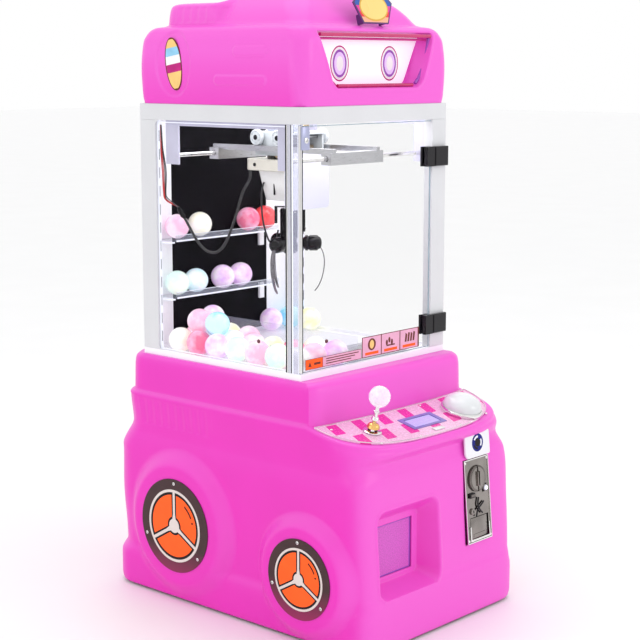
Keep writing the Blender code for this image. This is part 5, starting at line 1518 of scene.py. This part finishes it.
# ------------------------------------------------------------------ prize flap: lilac textured sheet with a stiffening rib and pull lip
bm = bmesh.new()
add_box(bm, (-0.1690, -0.3285, 0.1310), (-0.0440, -0.3265, 0.2575), mat=0)
add_box(bm, (-0.1600, -0.3289, 0.1400), (-0.0530, -0.3285, 0.2440), mat=1)
add_box(bm, (-0.1690, -0.3265, 0.1310), (-0.0440, -0.3261, 0.1345), mat=0)
make("prize_flap_sheet", bm, [look("flap_edge", (0.40, 0.10, 0.60), rough=0.3, var=0.1), flap_look], "flap", replaces=["prize_flap"], slot="smoked_plastic", sharp=30)
# ------------------------------------------------------------------ rear: service door with louvres, lock and hinges, mains inlet
bm = bmesh.new()
add_box(bm, (-0.1400, 0.3808, 0.0710), (0.1390, 0.3838, 0.3190), bevel=0.0010, mat=0)
for k in range(7):
    z = 0.235 + k * 0.0095
    add_box(bm, (-0.085, 0.3836, z), (0.085, 0.3845, z + 0.0050), bevel=0.0004, mat=0)
    add_box(bm, (-0.083, 0.3838, z - 0.0018), (0.083, 0.3840, z - 0.0002), mat=1)
add_box(bm, (-0.128, 0.3837, 0.083), (0.127, 0.3842, 0.086), mat=0)
add_box(bm, (-0.128, 0.3837, 0.304), (0.127, 0.3842, 0.307), mat=0)
add_turned(bm, [(0, 0.0), (0.0095, 0.0), (0.0095, 0.0005), (0.0080, 0.0007), (0, 0.0007)], seg=32, mx=at(-0.118, 0.3838, 0.195) @ AXIS_Y, mat=2)
add_box(bm, (-0.1187, 0.3844, 0.1905), (-0.1173, 0.3845, 0.1995), mat=1)
make("service_door", bm, [pink, black_satin, chrome], "rear_door", replaces=["rear_service_door"], slot="pink_moulding", sharp=35)
bm = bmesh.new()
add_box(bm, (0.1600, 0.3520, 0.0300), (0.2000, 0.3660, 0.0600), mat=0)
for lo, hi in (((0.1600, 0.366, 0.0300), (0.2000, 0.3848, 0.0355)), ((0.1600, 0.366, 0.0545), (0.2000, 0.3848, 0.0600)), ((0.1600, 0.366, 0.0355), (0.1655, 0.3848, 0.0545)), ((0.1945, 0.366, 0.0355), (0.2000, 0.3848, 0.0545))):
    add_box(bm, lo, hi, mat=0)
for x, z in ((0.1725, 0.0430), (0.1875, 0.0430), (0.1800, 0.0490)):
    add_box(bm, (x - 0.0022, 0.3660, z - 0.0008), (x + 0.0022, 0.3780, z + 0.0008), mat=1)
make("mains_inlet", bm, [black_satin, chrome], "cabinet", replaces=["power_inlet"], slot="black_plastic", sharp=30)

paint("base_floor", grey_paint)
paint("coin_box", steel)
paint("prize_chute", white_paint)

# ------------------------------------------------------------------ cabinet
paint("header_frame", white_paint)
# the play floor takes the lit inside white with its painted glow
paint("play_floor", white_in)
for n_ in ("post_front_right", "post_rear_left", "post_rear_right"):
    paint(n_, white_paint)
paint("post_front_left", look("clear_angle", (0.66, 0.68, 0.86), rough=0.10, var=0.05, bump=0.0, alpha=0.30, spec=0.6))
paint("back_panel", black_back)
for n_ in ("glass_left", "glass_right"):
    paint(n_, glass)
paint("chute_guard", acrylic)
paint("shelf_upper", acrylic)
paint("shelf_lower", acrylic)
for n_ in ("rail_front", "rail_rear"):
    paint(n_, chrome)
for n_ in ("rail_bracket_left", "rail_bracket_right"):
    paint(n_, lilac_sheet)
for n_ in ("hinge_lower_fixed", "hinge_upper_fixed", "hinge_lower_clamp", "hinge_upper_clamp"):
    paint(n_, black_gloss)
paint("bridge_frame", steel)
paint("trolley_chassis", grey_roller)
paint("door_glass", glass)

# painted light: paler glowing linings on the inner faces of the corner posts and the cabinet top, lit copies of the
# white paint
bm = bmesh.new()
for sx in (-1, 1):
    x0, x1 = sorted((sx * 0.2284, sx * 0.2279))
    add_box(bm, (x0, 0.2392, 0.5566), (x1, 0.2813, 1.0604))
    x0, x1 = sorted((sx * 0.1522, sx * 0.2278))
    add_box(bm, (x0, 0.2812, 0.5566), (x1, 0.2817, 1.0604))
add_box(bm, (0.1884, -0.1688, 0.5566), (0.2300, -0.1684, 1.0604))
add_box(bm, (-0.2140, -0.1700, 1.0870), (0.2140, 0.2660, 1.0878))
add_box(bm, (-0.2148, -0.1700, 1.0615), (-0.2143, 0.2660, 1.0870))
add_box(bm, (0.2143, -0.1700, 1.0615), (0.2148, 0.2660, 1.0870))
add_box(bm, (-0.2140, 0.2662, 1.0615), (0.2140, 0.2667, 1.0870))
make("lit_inner_faces", bm, white_in, "cabinet", slot="white_sheet", sharp=30)

# corner fillets of the side openings, where the sheet is cut with round corners
bm = bmesh.new()
def fillet(y, z, sy, sz, r=0.0135, n=10):
    pts = [(0, 0)] + [(r - r * math.sin(a), r - r * math.cos(a)) for a in spaced(0, math.pi / 2, n)]
    return [(y + sy * p, z + sz * q) for p, q in pts]


for sx in (-1, 1):
    for y, z, sy, sz in ((0.2390, 1.0610, -1, -1), (0.2390, 0.5560, -1, 1)) + (((-0.1690, 1.0610, 1, -1), (-0.1690, 0.5560, 1, 1)) if sx > 0 else ()):
        x0 = sx * 0.2351
        fr = Matrix(((0, 0, sx, x0), (1, 0, 0, 0), (0, 1, 0, 0), (0, 0, 0, 1)))
        add_prism(bm, fillet(y, z, sy, sz), -0.0004, 0.0004, mx=fr)
    # folded lip of the stile
    add_box(bm, (sx * 0.2352 - 0.0003, 0.2385, 0.5690), (sx * 0.2352 + 0.0003, 0.2400, 1.0480))
make("opening_corners", bm, white_paint, "cabinet", slot="white_sheet", sharp=30)

# glazing beads in clear plastic down the side glass, painted with an edge highlight, dark gasket line against the stile
bm = bmesh.new()
for sx in (-1, 1):
    x0, x1 = sorted((sx * 0.2302, sx * 0.2290))
    add_box(bm, (x0, 0.2300, 0.5568), (x1, 0.2384, 1.0600), mat=0)
    for k in range(12):
        z = 0.5750 + k * 0.0400
        add_box(bm, (x0 - 0.0002, 0.2310, z), (x1 + 0.0002, 0.2325, z + 0.0230), mat=1)
for z in (0.5595, 1.0560):
    add_box(bm, (-0.2305, -0.1480, z - 0.0010), (-0.2295, 0.2300, z + 0.0010), mat=0)
make("glazing_beads", bm, [acrylic_edge_highlight, black_satin], "cabinet", slot="clear_acrylic", sharp=30)

# front left corner: clear angle with a metal strip on its rear edge, dark seals and beads painted with an edge
# highlight
bm = bmesh.new()
add_box(bm, (-0.2357, -0.1640, 0.5566), (-0.2351, -0.1555, 1.0602), mat=3)
add_box(bm, (-0.2358, -0.1552, 0.5566), (-0.2351, -0.1530, 1.0602), mat=0)
add_box(bm, (-0.2357, -0.1528, 0.5566), (-0.2351, -0.1492, 1.0602), mat=1)
add_box(bm, (-0.2356, -0.1662, 0.5566), (-0.2351, -0.1642, 1.0602), mat=1)
add_box(bm, (-0.2355, -0.1700, 0.5566), (-0.2351, -0.1664, 1.0602), mat=2)
add_box(bm, (-0.2355, -0.1849, 0.5566), (-0.2351, -0.1836, 1.0602), mat=2)
add_turned(bm, [(0, 0.5566), (0.0016, 0.5566), (0.0016, 1.0602), (0, 1.0602)], seg=20, mx=at(-0.2300, -0.1800, 0), mat=0)
add_box(bm, (-0.2240, -0.1818, 0.5566), (-0.2226, -0.1800, 1.0602), mat=1)
make("corner_bars", bm, [chrome, black_satin, acrylic_edge_highlight, alu], "cabinet", slot="aluminium", sharp=30)

# door: edge strips, lock block, plain label strips
bm = bmesh.new()
add_box(bm, (-0.2349, -0.1910, 0.5595), (-0.2285, -0.1906, 1.0585), mat=0)
add_box(bm, (-0.2310, -0.1911, 0.5595), (-0.2285, -0.1905, 1.0585), mat=1)
add_box(bm, (-0.2349, -0.1909, 0.5595), (-0.2346, -0.1854, 1.0585), mat=0)
add_box(bm, (0.1796, -0.1909, 0.5595), (0.1828, -0.1906, 0.5880), mat=2)
add_box(bm, (0.1775, -0.1908, 0.6320), (0.1829, -0.1906, 0.9590), mat=2)
add_box(bm, (-0.2280, -0.1908, 0.5592), (0.1826, -0.1906, 0.5612), mat=2)
add_box(bm, (-0.2280, -0.1908, 1.0570), (0.1826, -0.1906, 1.0588), mat=2)
make("door_edge_strips", bm, [chrome, black_satin, glass_edge], "door", slot="glazing", sharp=30)
bm = bmesh.new()
add_box(bm, (-0.2340, -0.1960, 1.0110), (-0.2130, -0.1907, 1.0570), bevel=0.0010, mat=0)
add_turned(bm, [(0, 0.0), (0.0060, 0.0), (0.0060, 0.0010), (0.0050, 0.0016), (0, 0.0016)], seg=28, mx=at(-0.2235, -0.1960, 1.0300) @ AXIS_YN, mat=1)
add_box(bm, (-0.2241, -0.1979, 1.0265), (-0.2229, -0.1974, 1.0335), mat=2)
make("door_lock", bm, [look("lock_metal", (0.42, 0.44, 0.62), rough=0.3, metal=0.5, var=0.08), chrome, black_satin], "door", slot="steel", sharp=35)
bm = bmesh.new()
add_box(bm, (-0.2216, -0.1910, 0.5635), (-0.0470, -0.1906, 0.5850), mat=0)
add_box(bm, (-0.2205, -0.1911, 0.5645), (-0.1700, -0.1910, 0.5840), mat=1)
add_box(bm, (-0.1685, -0.1911, 0.5645), (-0.0480, -0.1910, 0.5840), mat=2)
add_prism(bm, [(-0.2140, -0.5690), (-0.2030, -0.5690), (-0.2085, -0.5795)], 0.0, 0.0001, mx=at(0, -0.1912, 0) @ AXIS_Y, mat=3)
for k in range(3):
    add_box(bm, (-0.1590, -0.1912, 0.5785 - k * 0.0050), (-0.0560 - 0.012 * k, -0.1911, 0.5805 - k * 0.0050), mat=3)
add_box(bm, (-0.1960, -0.1912, 0.5715), (-0.1760, -0.1911, 0.5765), mat=3)
add_box(bm, (-0.0450, -0.1910, 0.5635), (0.1480, -0.1906, 0.6080), mat=3)
for k in range(3):
    x = -0.0430 + k * 0.0630
    add_box(bm, (x, -0.1911, 0.5650), (x + 0.0600, -0.1910, 0.6065), mat=2)
    add_box(bm, (x + 0.0080, -0.1912, 0.5680), (x + 0.0520, -0.1911, 0.5740), mat=1)
    c = at(x + 0.030, -0.1911, 0.5900) @ AXIS_YN
    if k == 0:
        add_prism(bm, [(0.0130 * math.cos(a), 0.0130 * math.sin(a)) for a in spaced(0, 2 * math.pi, 30)[:-1]], 0.0, 0.0001, mx=c, mat=3)
        add_prism(bm, [(0.0070 * math.cos(a), 0.0095 * math.sin(a)) for a in spaced(0, 2 * math.pi, 24)[:-1]], 0.0001, 0.0002, mx=c, mat=4)
    elif k == 1:
        for j in range(3):
            add_prism(bm, [(-0.013 + 0.0085 * j + 0.0036 * math.cos(a), -0.003 + 0.005 * (j == 1) + 0.0062 * math.sin(a)) for a in spaced(0, 2 * math.pi, 18)[:-1]], 0.0, 0.0001, mx=c, mat=3)
        add_prism(bm, [(-0.014, -0.011), (0.014, -0.011), (0.014, -0.008), (-0.014, -0.008)], 0.0, 0.0001, mx=c, mat=3)
    else:
        for j in range(4):
            add_prism(bm, [(-0.015 + 0.009 * j, -0.010), (-0.009 + 0.009 * j, -0.010), (-0.006 + 0.009 * j, 0.006 + 0.003 * (j % 2)), (-0.012 + 0.009 * j, 0.010)], 0.0, 0.0001, mx=c, mat=3)
make("door_strips", bm, [ink_brown, ink_orange, ink_pinkish, ink_brown, ink_yellow], "door", slot="wheel_decal", sharp=30)

# screws and rubber dots, shelf brackets, LED strips
bm = bmesh.new()
for p, mx in (((-0.158, -0.1906, 0.616), AXIS_YN), ((-0.2346, -0.071, 0.6115), None)):
    r_ = mx if mx is not None else Matrix.Rotation(-math.pi / 2, 4, "Y")
    add_turned(bm, [(0, 0.0), (0.0044, 0.0), (0.0040, 0.0016), (0.0022, 0.0024), (0, 0.0025)], seg=24, mx=at(*p) @ r_, mat=0)
make("pane_buffer_side", bm, look("buffer_red", (0.12, 0.02, 0.035), rough=0.4), "cabinet", slot="black_plastic", sharp=35)
# the clear lips of the shelf brackets carry painted edge highlights
bm = bmesh.new()
for z in (0.792, 0.665):
    for x0, x1 in ((-0.1895, -0.1745), (0.1215, 0.1365)):
        add_box(bm, (x0, 0.2740, z - 0.0380), (x1, 0.2808, z - 0.0004), bevel=0.0008, mat=0)
    add_box(bm, (-0.2050, 0.2300, z - 0.0036), (-0.1902, 0.2808, z - 0.0004), bevel=0.0005, mat=1)
    for x in (-0.155, -0.020, 0.105):
        add_turned(bm, [(0, 0.0), (0.0028, 0.0), (0.0024, 0.0012), (0, 0.0014)], seg=18, mx=at(x, 0.2560, z + 0.0032), mat=2)
# the brackets take the lit inside white with its painted glow
make("shelf_brackets", bm, [white_in, acrylic_edge_highlight, chrome], "cabinet", slot="white_sheet", sharp=35)
# painted highlights along the front edges of the shelves
bm = bmesh.new()
for z, nm in ((0.792, "upper"), (0.665, "lower")):
    add_box(bm, (-0.1898, 0.2256, z + 0.0135), (0.1368, 0.2287, z + 0.0143))
    add_box(bm, (-0.1898, 0.2252, z - 0.0002), (0.1368, 0.2259, z + 0.0034))
make("shelf_edge_highlights", bm, acrylic_edge_highlight, "cabinet", slot="clear_acrylic", sharp=35)
bm = bmesh.new()
add_box(bm, (-0.205, -0.1660, 1.0790), (0.205, -0.1560, 1.0866), bevel=0.0020)
add_box(bm, (-0.2130, -0.1500, 1.0790), (-0.2040, 0.2500, 1.0866), bevel=0.0020)
add_box(bm, (0.2040, -0.1500, 1.0790), (0.2130, 0.2500, 1.0866), bevel=0.0020)
make("light_strips", bm, tube_light, "cabinet", slot="diffuser", sharp=35)

# supply wires down the rear left corner to the cable plug
bm = bmesh.new()
for k, (dx, mt) in enumerate(((0.0, 0), (0.0024, 1), (-0.0022, 0), (0.0046, 1))):
    p = [(-0.2245 + dx, 0.2360, 1.0500), (-0.2235 + dx, 0.2330, 1.0000), (-0.2215 + dx * 1.6, 0.2290, 0.9500), (-0.2220 + dx, 0.2270, 0.9000), (-0.2190 + dx, 0.2230, 0.8850 + 0.0015 * k), (-0.2060 + dx * 0.7, 0.2000, 0.8680)]
    end = plug_mx @ Vector((dx * 0.9 - 0.001, 0.0, 0.0138))
    p[-1] = tuple(end)
    add_tube(bm, smooth_route(p, 40), 0.0011, seg=8, mat=mt)
make("supply_wires", bm, [red_wire, cord_black], "cabinet", slot="cord_black", sharp=60)

# ------------------------------------------------------------------ prize balls
PASTELS = {"pink": ((0.93, 0.45, 0.66), (0.97, 0.80, 0.90)), "rose": ((0.86, 0.10, 0.24), (0.95, 0.45, 0.66)), "red": ((0.85, 0.02, 0.03), (0.92, 0.08, 0.10)),
           "mint": ((0.66, 0.93, 0.84), (0.90, 0.97, 0.80)), "cyan": ((0.16, 0.70, 0.90), (0.62, 0.90, 0.97)), "lilac": ((0.74, 0.42, 0.88), (0.96, 0.84, 0.97)),
           "cream": ((0.97, 0.94, 0.76), (0.99, 0.97, 0.95)), "lemon": ((0.93, 0.94, 0.45), (0.97, 0.98, 0.86)), "sky": ((0.60, 0.86, 0.97), (0.92, 0.94, 0.99)), "white": ((0.93, 0.91, 0.96), (0.99, 0.94, 0.97))}
BALL_R = 0.0275


def ball(i, x, y, z, kind):
    m = ball_look("ball_" + kind, *PASTELS[kind], painted_glow=0.22)
    r_ = np.random.RandomState(100 + i)
    rot = Matrix.Rotation(r_.rand() * 6.28, 4, "X") @ Matrix.Rotation(r_.rand() * 6.28, 4, "Z") @ Matrix.Rotation(r_.rand() * 6.28, 4, "Y")
    b = bmesh.new()
    prof = []
    for k in range(37):
        a = math.pi * k / 36
        rr = BALL_R
        if abs(k - 18) < 1:
            rr = BALL_R - 0.0004
        prof.append((rr * math.sin(a) if 0 < k < 36 else 0, rr * math.cos(a)))
    add_turned(b, prof, seg=48, mx=at(x, y, z) @ rot)
    ob = make(f"prize_ball_{i:02d}", b, m, "cabinet", slot="white_plastic", sharp=60)
    return ob


balls = []
for x, z_, kind in ((-0.1610, 0.795, "pink"), (-0.0912, 0.795, "cream"), (0.0640, 0.795, "rose"), (0.1080 + 0.012, 0.795, "red")):
    balls.append((x, 0.2545, z_ + BALL_R + 0.0001, kind))
for x, kind in ((-0.1625, "mint"), (-0.1050, "sky"), (-0.0210, "lilac"), (0.0370, "lilac")):
    balls.append((x, 0.2545, 0.668 + BALL_R + 0.0001, kind))
z1 = 0.549 + BALL_R + 0.0001
low_layer = [(-0.199, -0.148, "white"), (-0.141, -0.140, "pink"), (-0.083, -0.150, "lilac"), (-0.196, -0.088, "mint"), (-0.138, -0.080, "rose"), (-0.0815, -0.090, "cream"), (-0.197, -0.030, "pink"),
             (-0.139, -0.020, "lemon"), (-0.197, 0.030, "mint"), (-0.1390, 0.0400, "pink"), (-0.199, 0.090, "lilac"), (-0.141, 0.100, "white"), (-0.0810, 0.1120, "pink"), (-0.197, 0.150, "rose"),
             (-0.139, 0.160, "sky"), (-0.0810, 0.1720, "lemon"), (-0.197, 0.208, "cream"), (-0.139, 0.218, "pink"), (-0.0815, 0.2320, "lilac"), (0.196, 0.245, "cyan"), (0.135, 0.250, "lilac"), (0.200, 0.1860, "lemon")]
for x, y, kind in low_layer:
    balls.append((x, y, z1, kind))
second = [(-0.168, 0.178, "pink"), (-0.170, 0.119, "cyan"), (-0.110, 0.196, "lilac")]
for x, y, kind in second:
    balls.append((x, y, 0.6180, kind))
for i, (x, y, z, kind) in enumerate(balls):
    ball(i, x, y, z, kind)

# ------------------------------------------------------------------ gantry: hoist, rollers
for nm, dy, body in (("front", -0.032, "roller_front"), ("rear", 0.032, "roller_rear")):
    bm = bmesh.new()
    mx = at(HX, HY + dy, 1.023) @ AXIS_X
    for s in (-1, 1):
        add_turned(bm, [(0.0030, s * 0.0640), (0.0078, s * 0.0642), (0.0165, s * 0.0655), (0.0174, s * 0.0662), (0.0175, s * 0.0672), (0.0175, s * 0.0722), (0.0171, s * 0.0735), (0.0150, s * 0.0748), (0.0146, s * 0.0735),
                        (0.0100, s * 0.0732), (0.0096, s * 0.0745), (0.0030, s * 0.0745)], seg=56, mx=mx, mat=0)
        add_turned(bm, [(0, s * 0.0730), (0.0056, s * 0.0730), (0.0056, s * 0.0752), (0.0045, s * 0.07545), (0, s * 0.07545)], seg=24, mx=mx, mat=1)
        for k in range(6):
            c = mx @ Matrix.Rotation(math.radians(60 * k), 4, "Z") @ at(0.0123, 0, 0)
            z0, z1_ = sorted((s * 0.0726, s * 0.0738))
            add_box(bm, (-0.0008, -0.0024, z0), (0.0008, 0.0024, z1_), mx=c, mat=2)
    add_turned(bm, [(0, -0.0640), (0.0030, -0.0640), (0.0030, 0.0640), (0, 0.0640)], seg=24, mx=mx, mat=3)
    make("roller_" + nm + "_wheels", bm, [grey_roller, black_satin, look("roller_rib", (0.30, 0.33, 0.35), rough=0.4), steel], body, replaces=["roller_axle_" + nm], slot="grey_plastic", sharp=35)
bm = bmesh.new()
# motor and wiring block on the trolley plate
add_box(bm, (HX - 0.040, HY - 0.030, 1.0352), (HX + 0.012, HY + 0.030, 1.0500), bevel=0.0020, mat=0)
add_turned(bm, [(0, -0.020), (0.0085, -0.020), (0.0095, -0.018), (0.0095, 0.018), (0.0085, 0.020), (0, 0.020)], seg=32, mx=at(HX + 0.033, HY, 1.0448) @ AXIS_Y, mat=1)
for sx in (-1, 1):
    for sy in (-1, 1):
        add_turned(bm, [(0, 0.0), (0.0034, 0.0), (0.0034, 0.0016), (0, 0.0020)], seg=6, mx=at(HX + sx * 0.048, HY + sy * 0.044, 1.0351), mat=2)
make("trolley_motor", bm, [look("motor_box", (0.34, 0.36, 0.44), rough=0.35, var=0.08), gold, steel], "trolley", slot="grey_plastic", sharp=35)

bm = bmesh.new()


def rrect(cx, cy, hx_, hy_, r, z, n=6):
    out = []
    for qx, qy, a0 in ((1, 1, 0), (-1, 1, 90), (-1, -1, 180), (1, -1, 270)):
        for k in range(n + 1):
            a = math.radians(a0 + 90 * k / n)
            out.append((cx + qx * (hx_ - r) + r * math.cos(a), cy + qy * (hy_ - r) + r * math.sin(a), z))
    return out


add_loft(bm, [rrect(HX, HY, 0.0420, 0.0340, 0.008, 0.8852), rrect(HX, HY, 0.0438, 0.0358, 0.009, 0.8870), rrect(HX, HY, 0.0500, 0.0415, 0.010, 0.9180), rrect(HX, HY, 0.0556, 0.0466, 0.010, 0.9498)], mat=0)
for sy in (-1, 1):
    add_box(bm, (HX - 0.0055, HY + sy * 0.0385 - 0.0020, 0.8905), (HX + 0.0055, HY + sy * 0.0385 + 0.0020, 0.9300), bevel=0.0008, mat=0)
add_box(bm, (HX - 0.0508, HY - 0.0015, 0.8980), (HX - 0.0470, HY + 0.0015, 0.9400), bevel=0.0006, mat=2)
add_loft(bm, [rrect(HX, HY + 0.016, 0.0625, 0.0625, 0.020, 0.9500, 10), rrect(HX, HY + 0.016, 0.0640, 0.0640, 0.021, 0.9515, 10), rrect(HX, HY + 0.016, 0.0640, 0.0640, 0.021, 0.9740, 10), rrect(HX, HY + 0.016, 0.0625, 0.0625, 0.020, 0.9755, 10)], mat=1)
add_turned(bm, [(0, 0.0), (0.0040, 0.0), (0.0036, 0.0016), (0.0016, 0.0020), (0, 0.0020)], seg=20, mx=at(HX - 0.0640, HY - 0.030, 0.9630) @ Matrix.Rotation(-math.pi / 2, 4, "Y"), mat=2)
add_turned(bm, [(0, 0.0), (0.0040, 0.0), (0.0036, 0.0016), (0.0016, 0.0020), (0, 0.0020)], seg=20, mx=at(HX - 0.0640, HY + 0.045, 0.9630) @ Matrix.Rotation(-math.pi / 2, 4, "Y"), mat=2)
# gear motor between the band and the trolley plate
add_turned(bm, [(0, -0.0480), (0.0120, -0.0480), (0.0135, -0.0460), (0.0135, 0.0160), (0, 0.0160)], seg=40, mx=at(HX, HY - 0.010, 0.9895) @ AXIS_X, mat=3)
for k in range(5):
    add_turned(bm, [(0.0134, -0.0400 + k * 0.010), (0.0141, -0.0395 + k * 0.010), (0.0141, -0.0365 + k * 0.010), (0.0134, -0.0360 + k * 0.010)], seg=40, mx=at(HX, HY - 0.010, 0.9895) @ AXIS_X, mat=4)
add_box(bm, (HX + 0.0140, HY - 0.0280, 0.9758), (HX + 0.0480, HY + 0.0280, 1.0048), bevel=0.0020, mat=4)
add_box(bm, (HX - 0.0420, HY + 0.0060, 0.9756), (HX + 0.0100, HY + 0.0290, 0.9985), bevel=0.0015, mat=5)
for x in (-0.036, -0.016, 0.004):
    add_turned(bm, [(0, 0.0), (0.0030, 0.0), (0.0030, 0.0030), (0, 0.0034)], seg=16, mx=at(HX + x, HY + 0.018, 0.9984), mat=2)
make("hoist_unit", bm, [white_gloss, beige, black_satin, gold, look("gearbox_metal", (0.30, 0.24, 0.17), rough=0.4, metal=0.7, var=0.15), look("hoist_board", (0.10, 0.09, 0.08), rough=0.5)],
     "trolley", replaces=["hoist_housing"], slot="white_plastic", sharp=35)
bm = bmesh.new()
add_prism(bm, [(x, -z) for x, z, _ in [(p[0], p[1], 0) for p in rrect(HX, 0.92925, 0.069, 0.06225, 0.010, 0, 8)]], 0.0, 0.0046, mx=at(0, HY - 0.0543, 0) @ AXIS_Y, bevel=0.0)
make("hoist_front_plate", bm, look("cover_white", (0.72, 0.72, 0.84), rough=0.3, coat=0.2, var=0.02), "trolley", replaces=["hoist_cover"], slot="white_sheet", sharp=35)

# ------------------------------------------------------------------ claw
CM = at(HX, HY, 0)
bm = bmesh.new()
prof = [(0, 0.868), (0.009, 0.868), (0.010, 0.8662), (0.0190, 0.8662), (0.0208, 0.8650), (0.0210, 0.8600)]
zc = 0.8590
while zc > 0.8095:
    prof += [(0.0196, zc), (0.0203, zc - 0.0006), (0.0203, zc - 0.0018), (0.0196, zc - 0.0024)]
    zc -= 0.0024
prof += [(0.0210, 0.8085), (0.0210, 0.8030), (0.0192, 0.8010), (0.0150, 0.8008), (0.0150, 0.7900), (0.0183, 0.7880), (0.0183, 0.7722), (0.0120, 0.7662), (0, 0.7662)]
add_turned(bm, prof, seg=56, mx=CM, mat=0)
for az in FINGER_AZ:
    R = CM @ Matrix.Rotation(math.radians(az + 60), 4, "Z")
    add_box(bm, (0.0196, -0.0035, 0.8040), (0.0216, 0.0035, 0.8640), mx=R, bevel=0.0006, mat=1)
    add_turned(bm, [(0, 0.0), (0.0018, 0.0), (0.0018, 0.0012), (0, 0.0014)], seg=14, mx=R @ at(0.0216, 0, 0.8590) @ Matrix.Rotation(math.pi / 2, 4, "Y"), mat=2)
make("claw_coil", bm, [black_gloss, black_satin, chrome], "claw", replaces=["claw_body"], slot="black_plastic", sharp=35)
# bent plate over the coil: a bridge on top and a cheek on either side
bm = bmesh.new()
Y = CM @ Matrix.Rotation(math.radians(FINGER_AZ[0]), 4, "Z")
add_box(bm, (-0.0340, -0.0085, 0.8683), (0.0340, 0.0085, 0.8708), mx=Y, bevel=0.0005, mat=0)
add_box(bm, (0.0275, -0.0120, 0.8150), (0.0340, 0.0120, 0.8708), mx=Y, bevel=0.0012, mat=0)
add_box(bm, (-0.0340, -0.0085, 0.8330), (-0.0275, 0.0085, 0.8708), mx=Y, bevel=0.0012, mat=0)
add_turned(bm, [(0, 0.0), (0.0024, 0.0), (0.0024, 0.0012), (0, 0.0014)], seg=16, mx=Y @ at(0.0340, 0, 0.8220) @ Matrix.Rotation(math.pi / 2, 4, "Y"), mat=1)
make("claw_yoke", bm, [black_gloss, chrome], "claw", slot="black_plastic", sharp=35)
BLADE = [(0.062, 0.786), (0.071, 0.773), (0.0755, 0.757), (0.0760, 0.740), (0.0735, 0.722), (0.0690, 0.706), (0.0625, 0.692), (0.0550, 0.682)]
for i, az in enumerate(FINGER_AZ):
    R = CM @ Matrix.Rotation(math.radians(az), 4, "Z")
    bm = bmesh.new()
    add_turned(bm, [(0, 0.0275), (0.0050, 0.0275), (0.0062, 0.0280), (0.0105, 0.0288), (0.0128, 0.0302), (0.0140, 0.0322), (0.0145, 0.0345), (0.0145, 0.0600), (0.0141, 0.0632), (0.0130, 0.0658), (0.0108, 0.0680), (0.0075, 0.0696), (0.0035, 0.0704), (0, 0.0705)],
               seg=40, mx=R @ at(0, 0, FINGER_Z) @ AXIS_X, mat=0)
    add_turned(bm, [(0.0146, 0.0400), (0.0149, 0.0404), (0.0149, 0.0424), (0.0146, 0.0428)], seg=40, mx=R @ at(0, 0, FINGER_Z) @ AXIS_X, mat=1)
    bl = smooth_route([(a, 0, b) for a, b in BLADE], 40)
    t = bmesh.new()
    rowsv = []
    for j, p in enumerate(bl):
        d = (bl[min(j + 1, len(bl) - 1)] - bl[max(j - 1, 0)]).normalized()
        nrm = Vector((d.z, 0, -d.x))
        f = j / (len(bl) - 1)
        w = 0.0044 - 0.0012 * smooth((f - 0.55) / 0.35) - 0.0012 * smooth((f - 0.93) / 0.07)
        h = 0.0012
        rowsv.append([t.verts.new(p + nrm * (h * math.sin(a)) + Vector((0, w * math.cos(a), 0))) for a in spaced(0, 2 * math.pi, 16)[:-1]])
    for a, b in zip(rowsv[:-1], rowsv[1:]):
        for k in range(16):
            j = (k + 1) % 16
            t.faces.new((a[k], a[j], b[j], b[k]))
    t.faces.new(rowsv[0])
    t.faces.new(rowsv[-1])
    merge(bm, t, R, 2)
    add_turned(bm, [(0.0144, 0.0330), (0.0168, 0.0338), (0.0172, 0.0350), (0.0172, 0.0392), (0.0168, 0.0400), (0.0144, 0.0404)], seg=40, mx=R @ at(0, 0, FINGER_Z) @ AXIS_X, mat=0)
    add_turned(bm, [(0.0144, 0.0424), (0.0168, 0.0430), (0.0172, 0.0440), (0.0172, 0.0590), (0.0165, 0.0612), (0.0144, 0.0625)], seg=40, mx=R @ at(0, 0, FINGER_Z) @ AXIS_X, mat=0)
    make(f"finger_{i + 1}_arm", bm, [black_gloss, black_satin, look("finger_steel", (0.20, 0.19, 0.21), rough=0.22, metal=0.9, var=0.1, scale=60.0)], f"finger_{i + 1}", replaces=[f"claw_finger_{i + 1}"], slot="black_plastic", sharp=40)

# ------------------------------------------------------------------ floor, world, lights
bm = bmesh.new()
bmesh.ops.create_grid(bm, x_segments=2, y_segments=2, size=30.0)
floor_mat = look("studio_floor", (0.965, 0.965, 0.97), rough=0.55, var=0.01, scale=3.0, bump=0.0)
floor = make("studio_floor", bm, floor_mat, None, sharp=None)
floor.location = (0, 0, 0)
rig.stage(floor)
world = bpy.data.worlds.new("world")
world.use_nodes = True
bg = world.node_tree.nodes["Background"]
bg.inputs["Color"].default_value = (1.0, 1.0, 1.0, 1)
bg.inputs["Strength"].default_value = 1.0
SCENE.world = world
SCENE.view_settings.view_transform = "Standard"
SCENE.view_settings.look = "None"
SCENE.view_settings.exposure = 0.0


def area(name, loc, target, size, power, color=(1, 1, 1)):
    l = bpy.data.lights.new(name, "AREA")
    l.shape = "RECTANGLE"
    l.size, l.size_y = size
    l.energy = power
    l.color = color
    o = bpy.data.objects.new(name, l)
    o.location = loc
    o.rotation_mode = "QUATERNION"
    o.rotation_quaternion = (Vector(target) - Vector(loc)).to_track_quat("-Z", "Y")
    SCENE.collection.objects.link(o)
    return o


area("key", (1.6, -3.4, 2.0), (0, 0, 0.6), (1.6, 1.6), 16)
area("side_soft", (-3.4, 0.6, 1.6), (0, 0, 0.6), (2.2, 2.2), 8)
area("top", (0.2, 0.3, 3.4), (0, 0, 0.5), (2.0, 2.0), 12)
area("cabinet_light", (0.0, 0.02, 1.076), (0.0, 0.02, 0.5), (0.36, 0.34), 1.4)

size = {"loaded": cad_box, "finished": [list(v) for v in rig.bounds()]}
with open("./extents.json", "w") as f:
    json.dump(size, f)
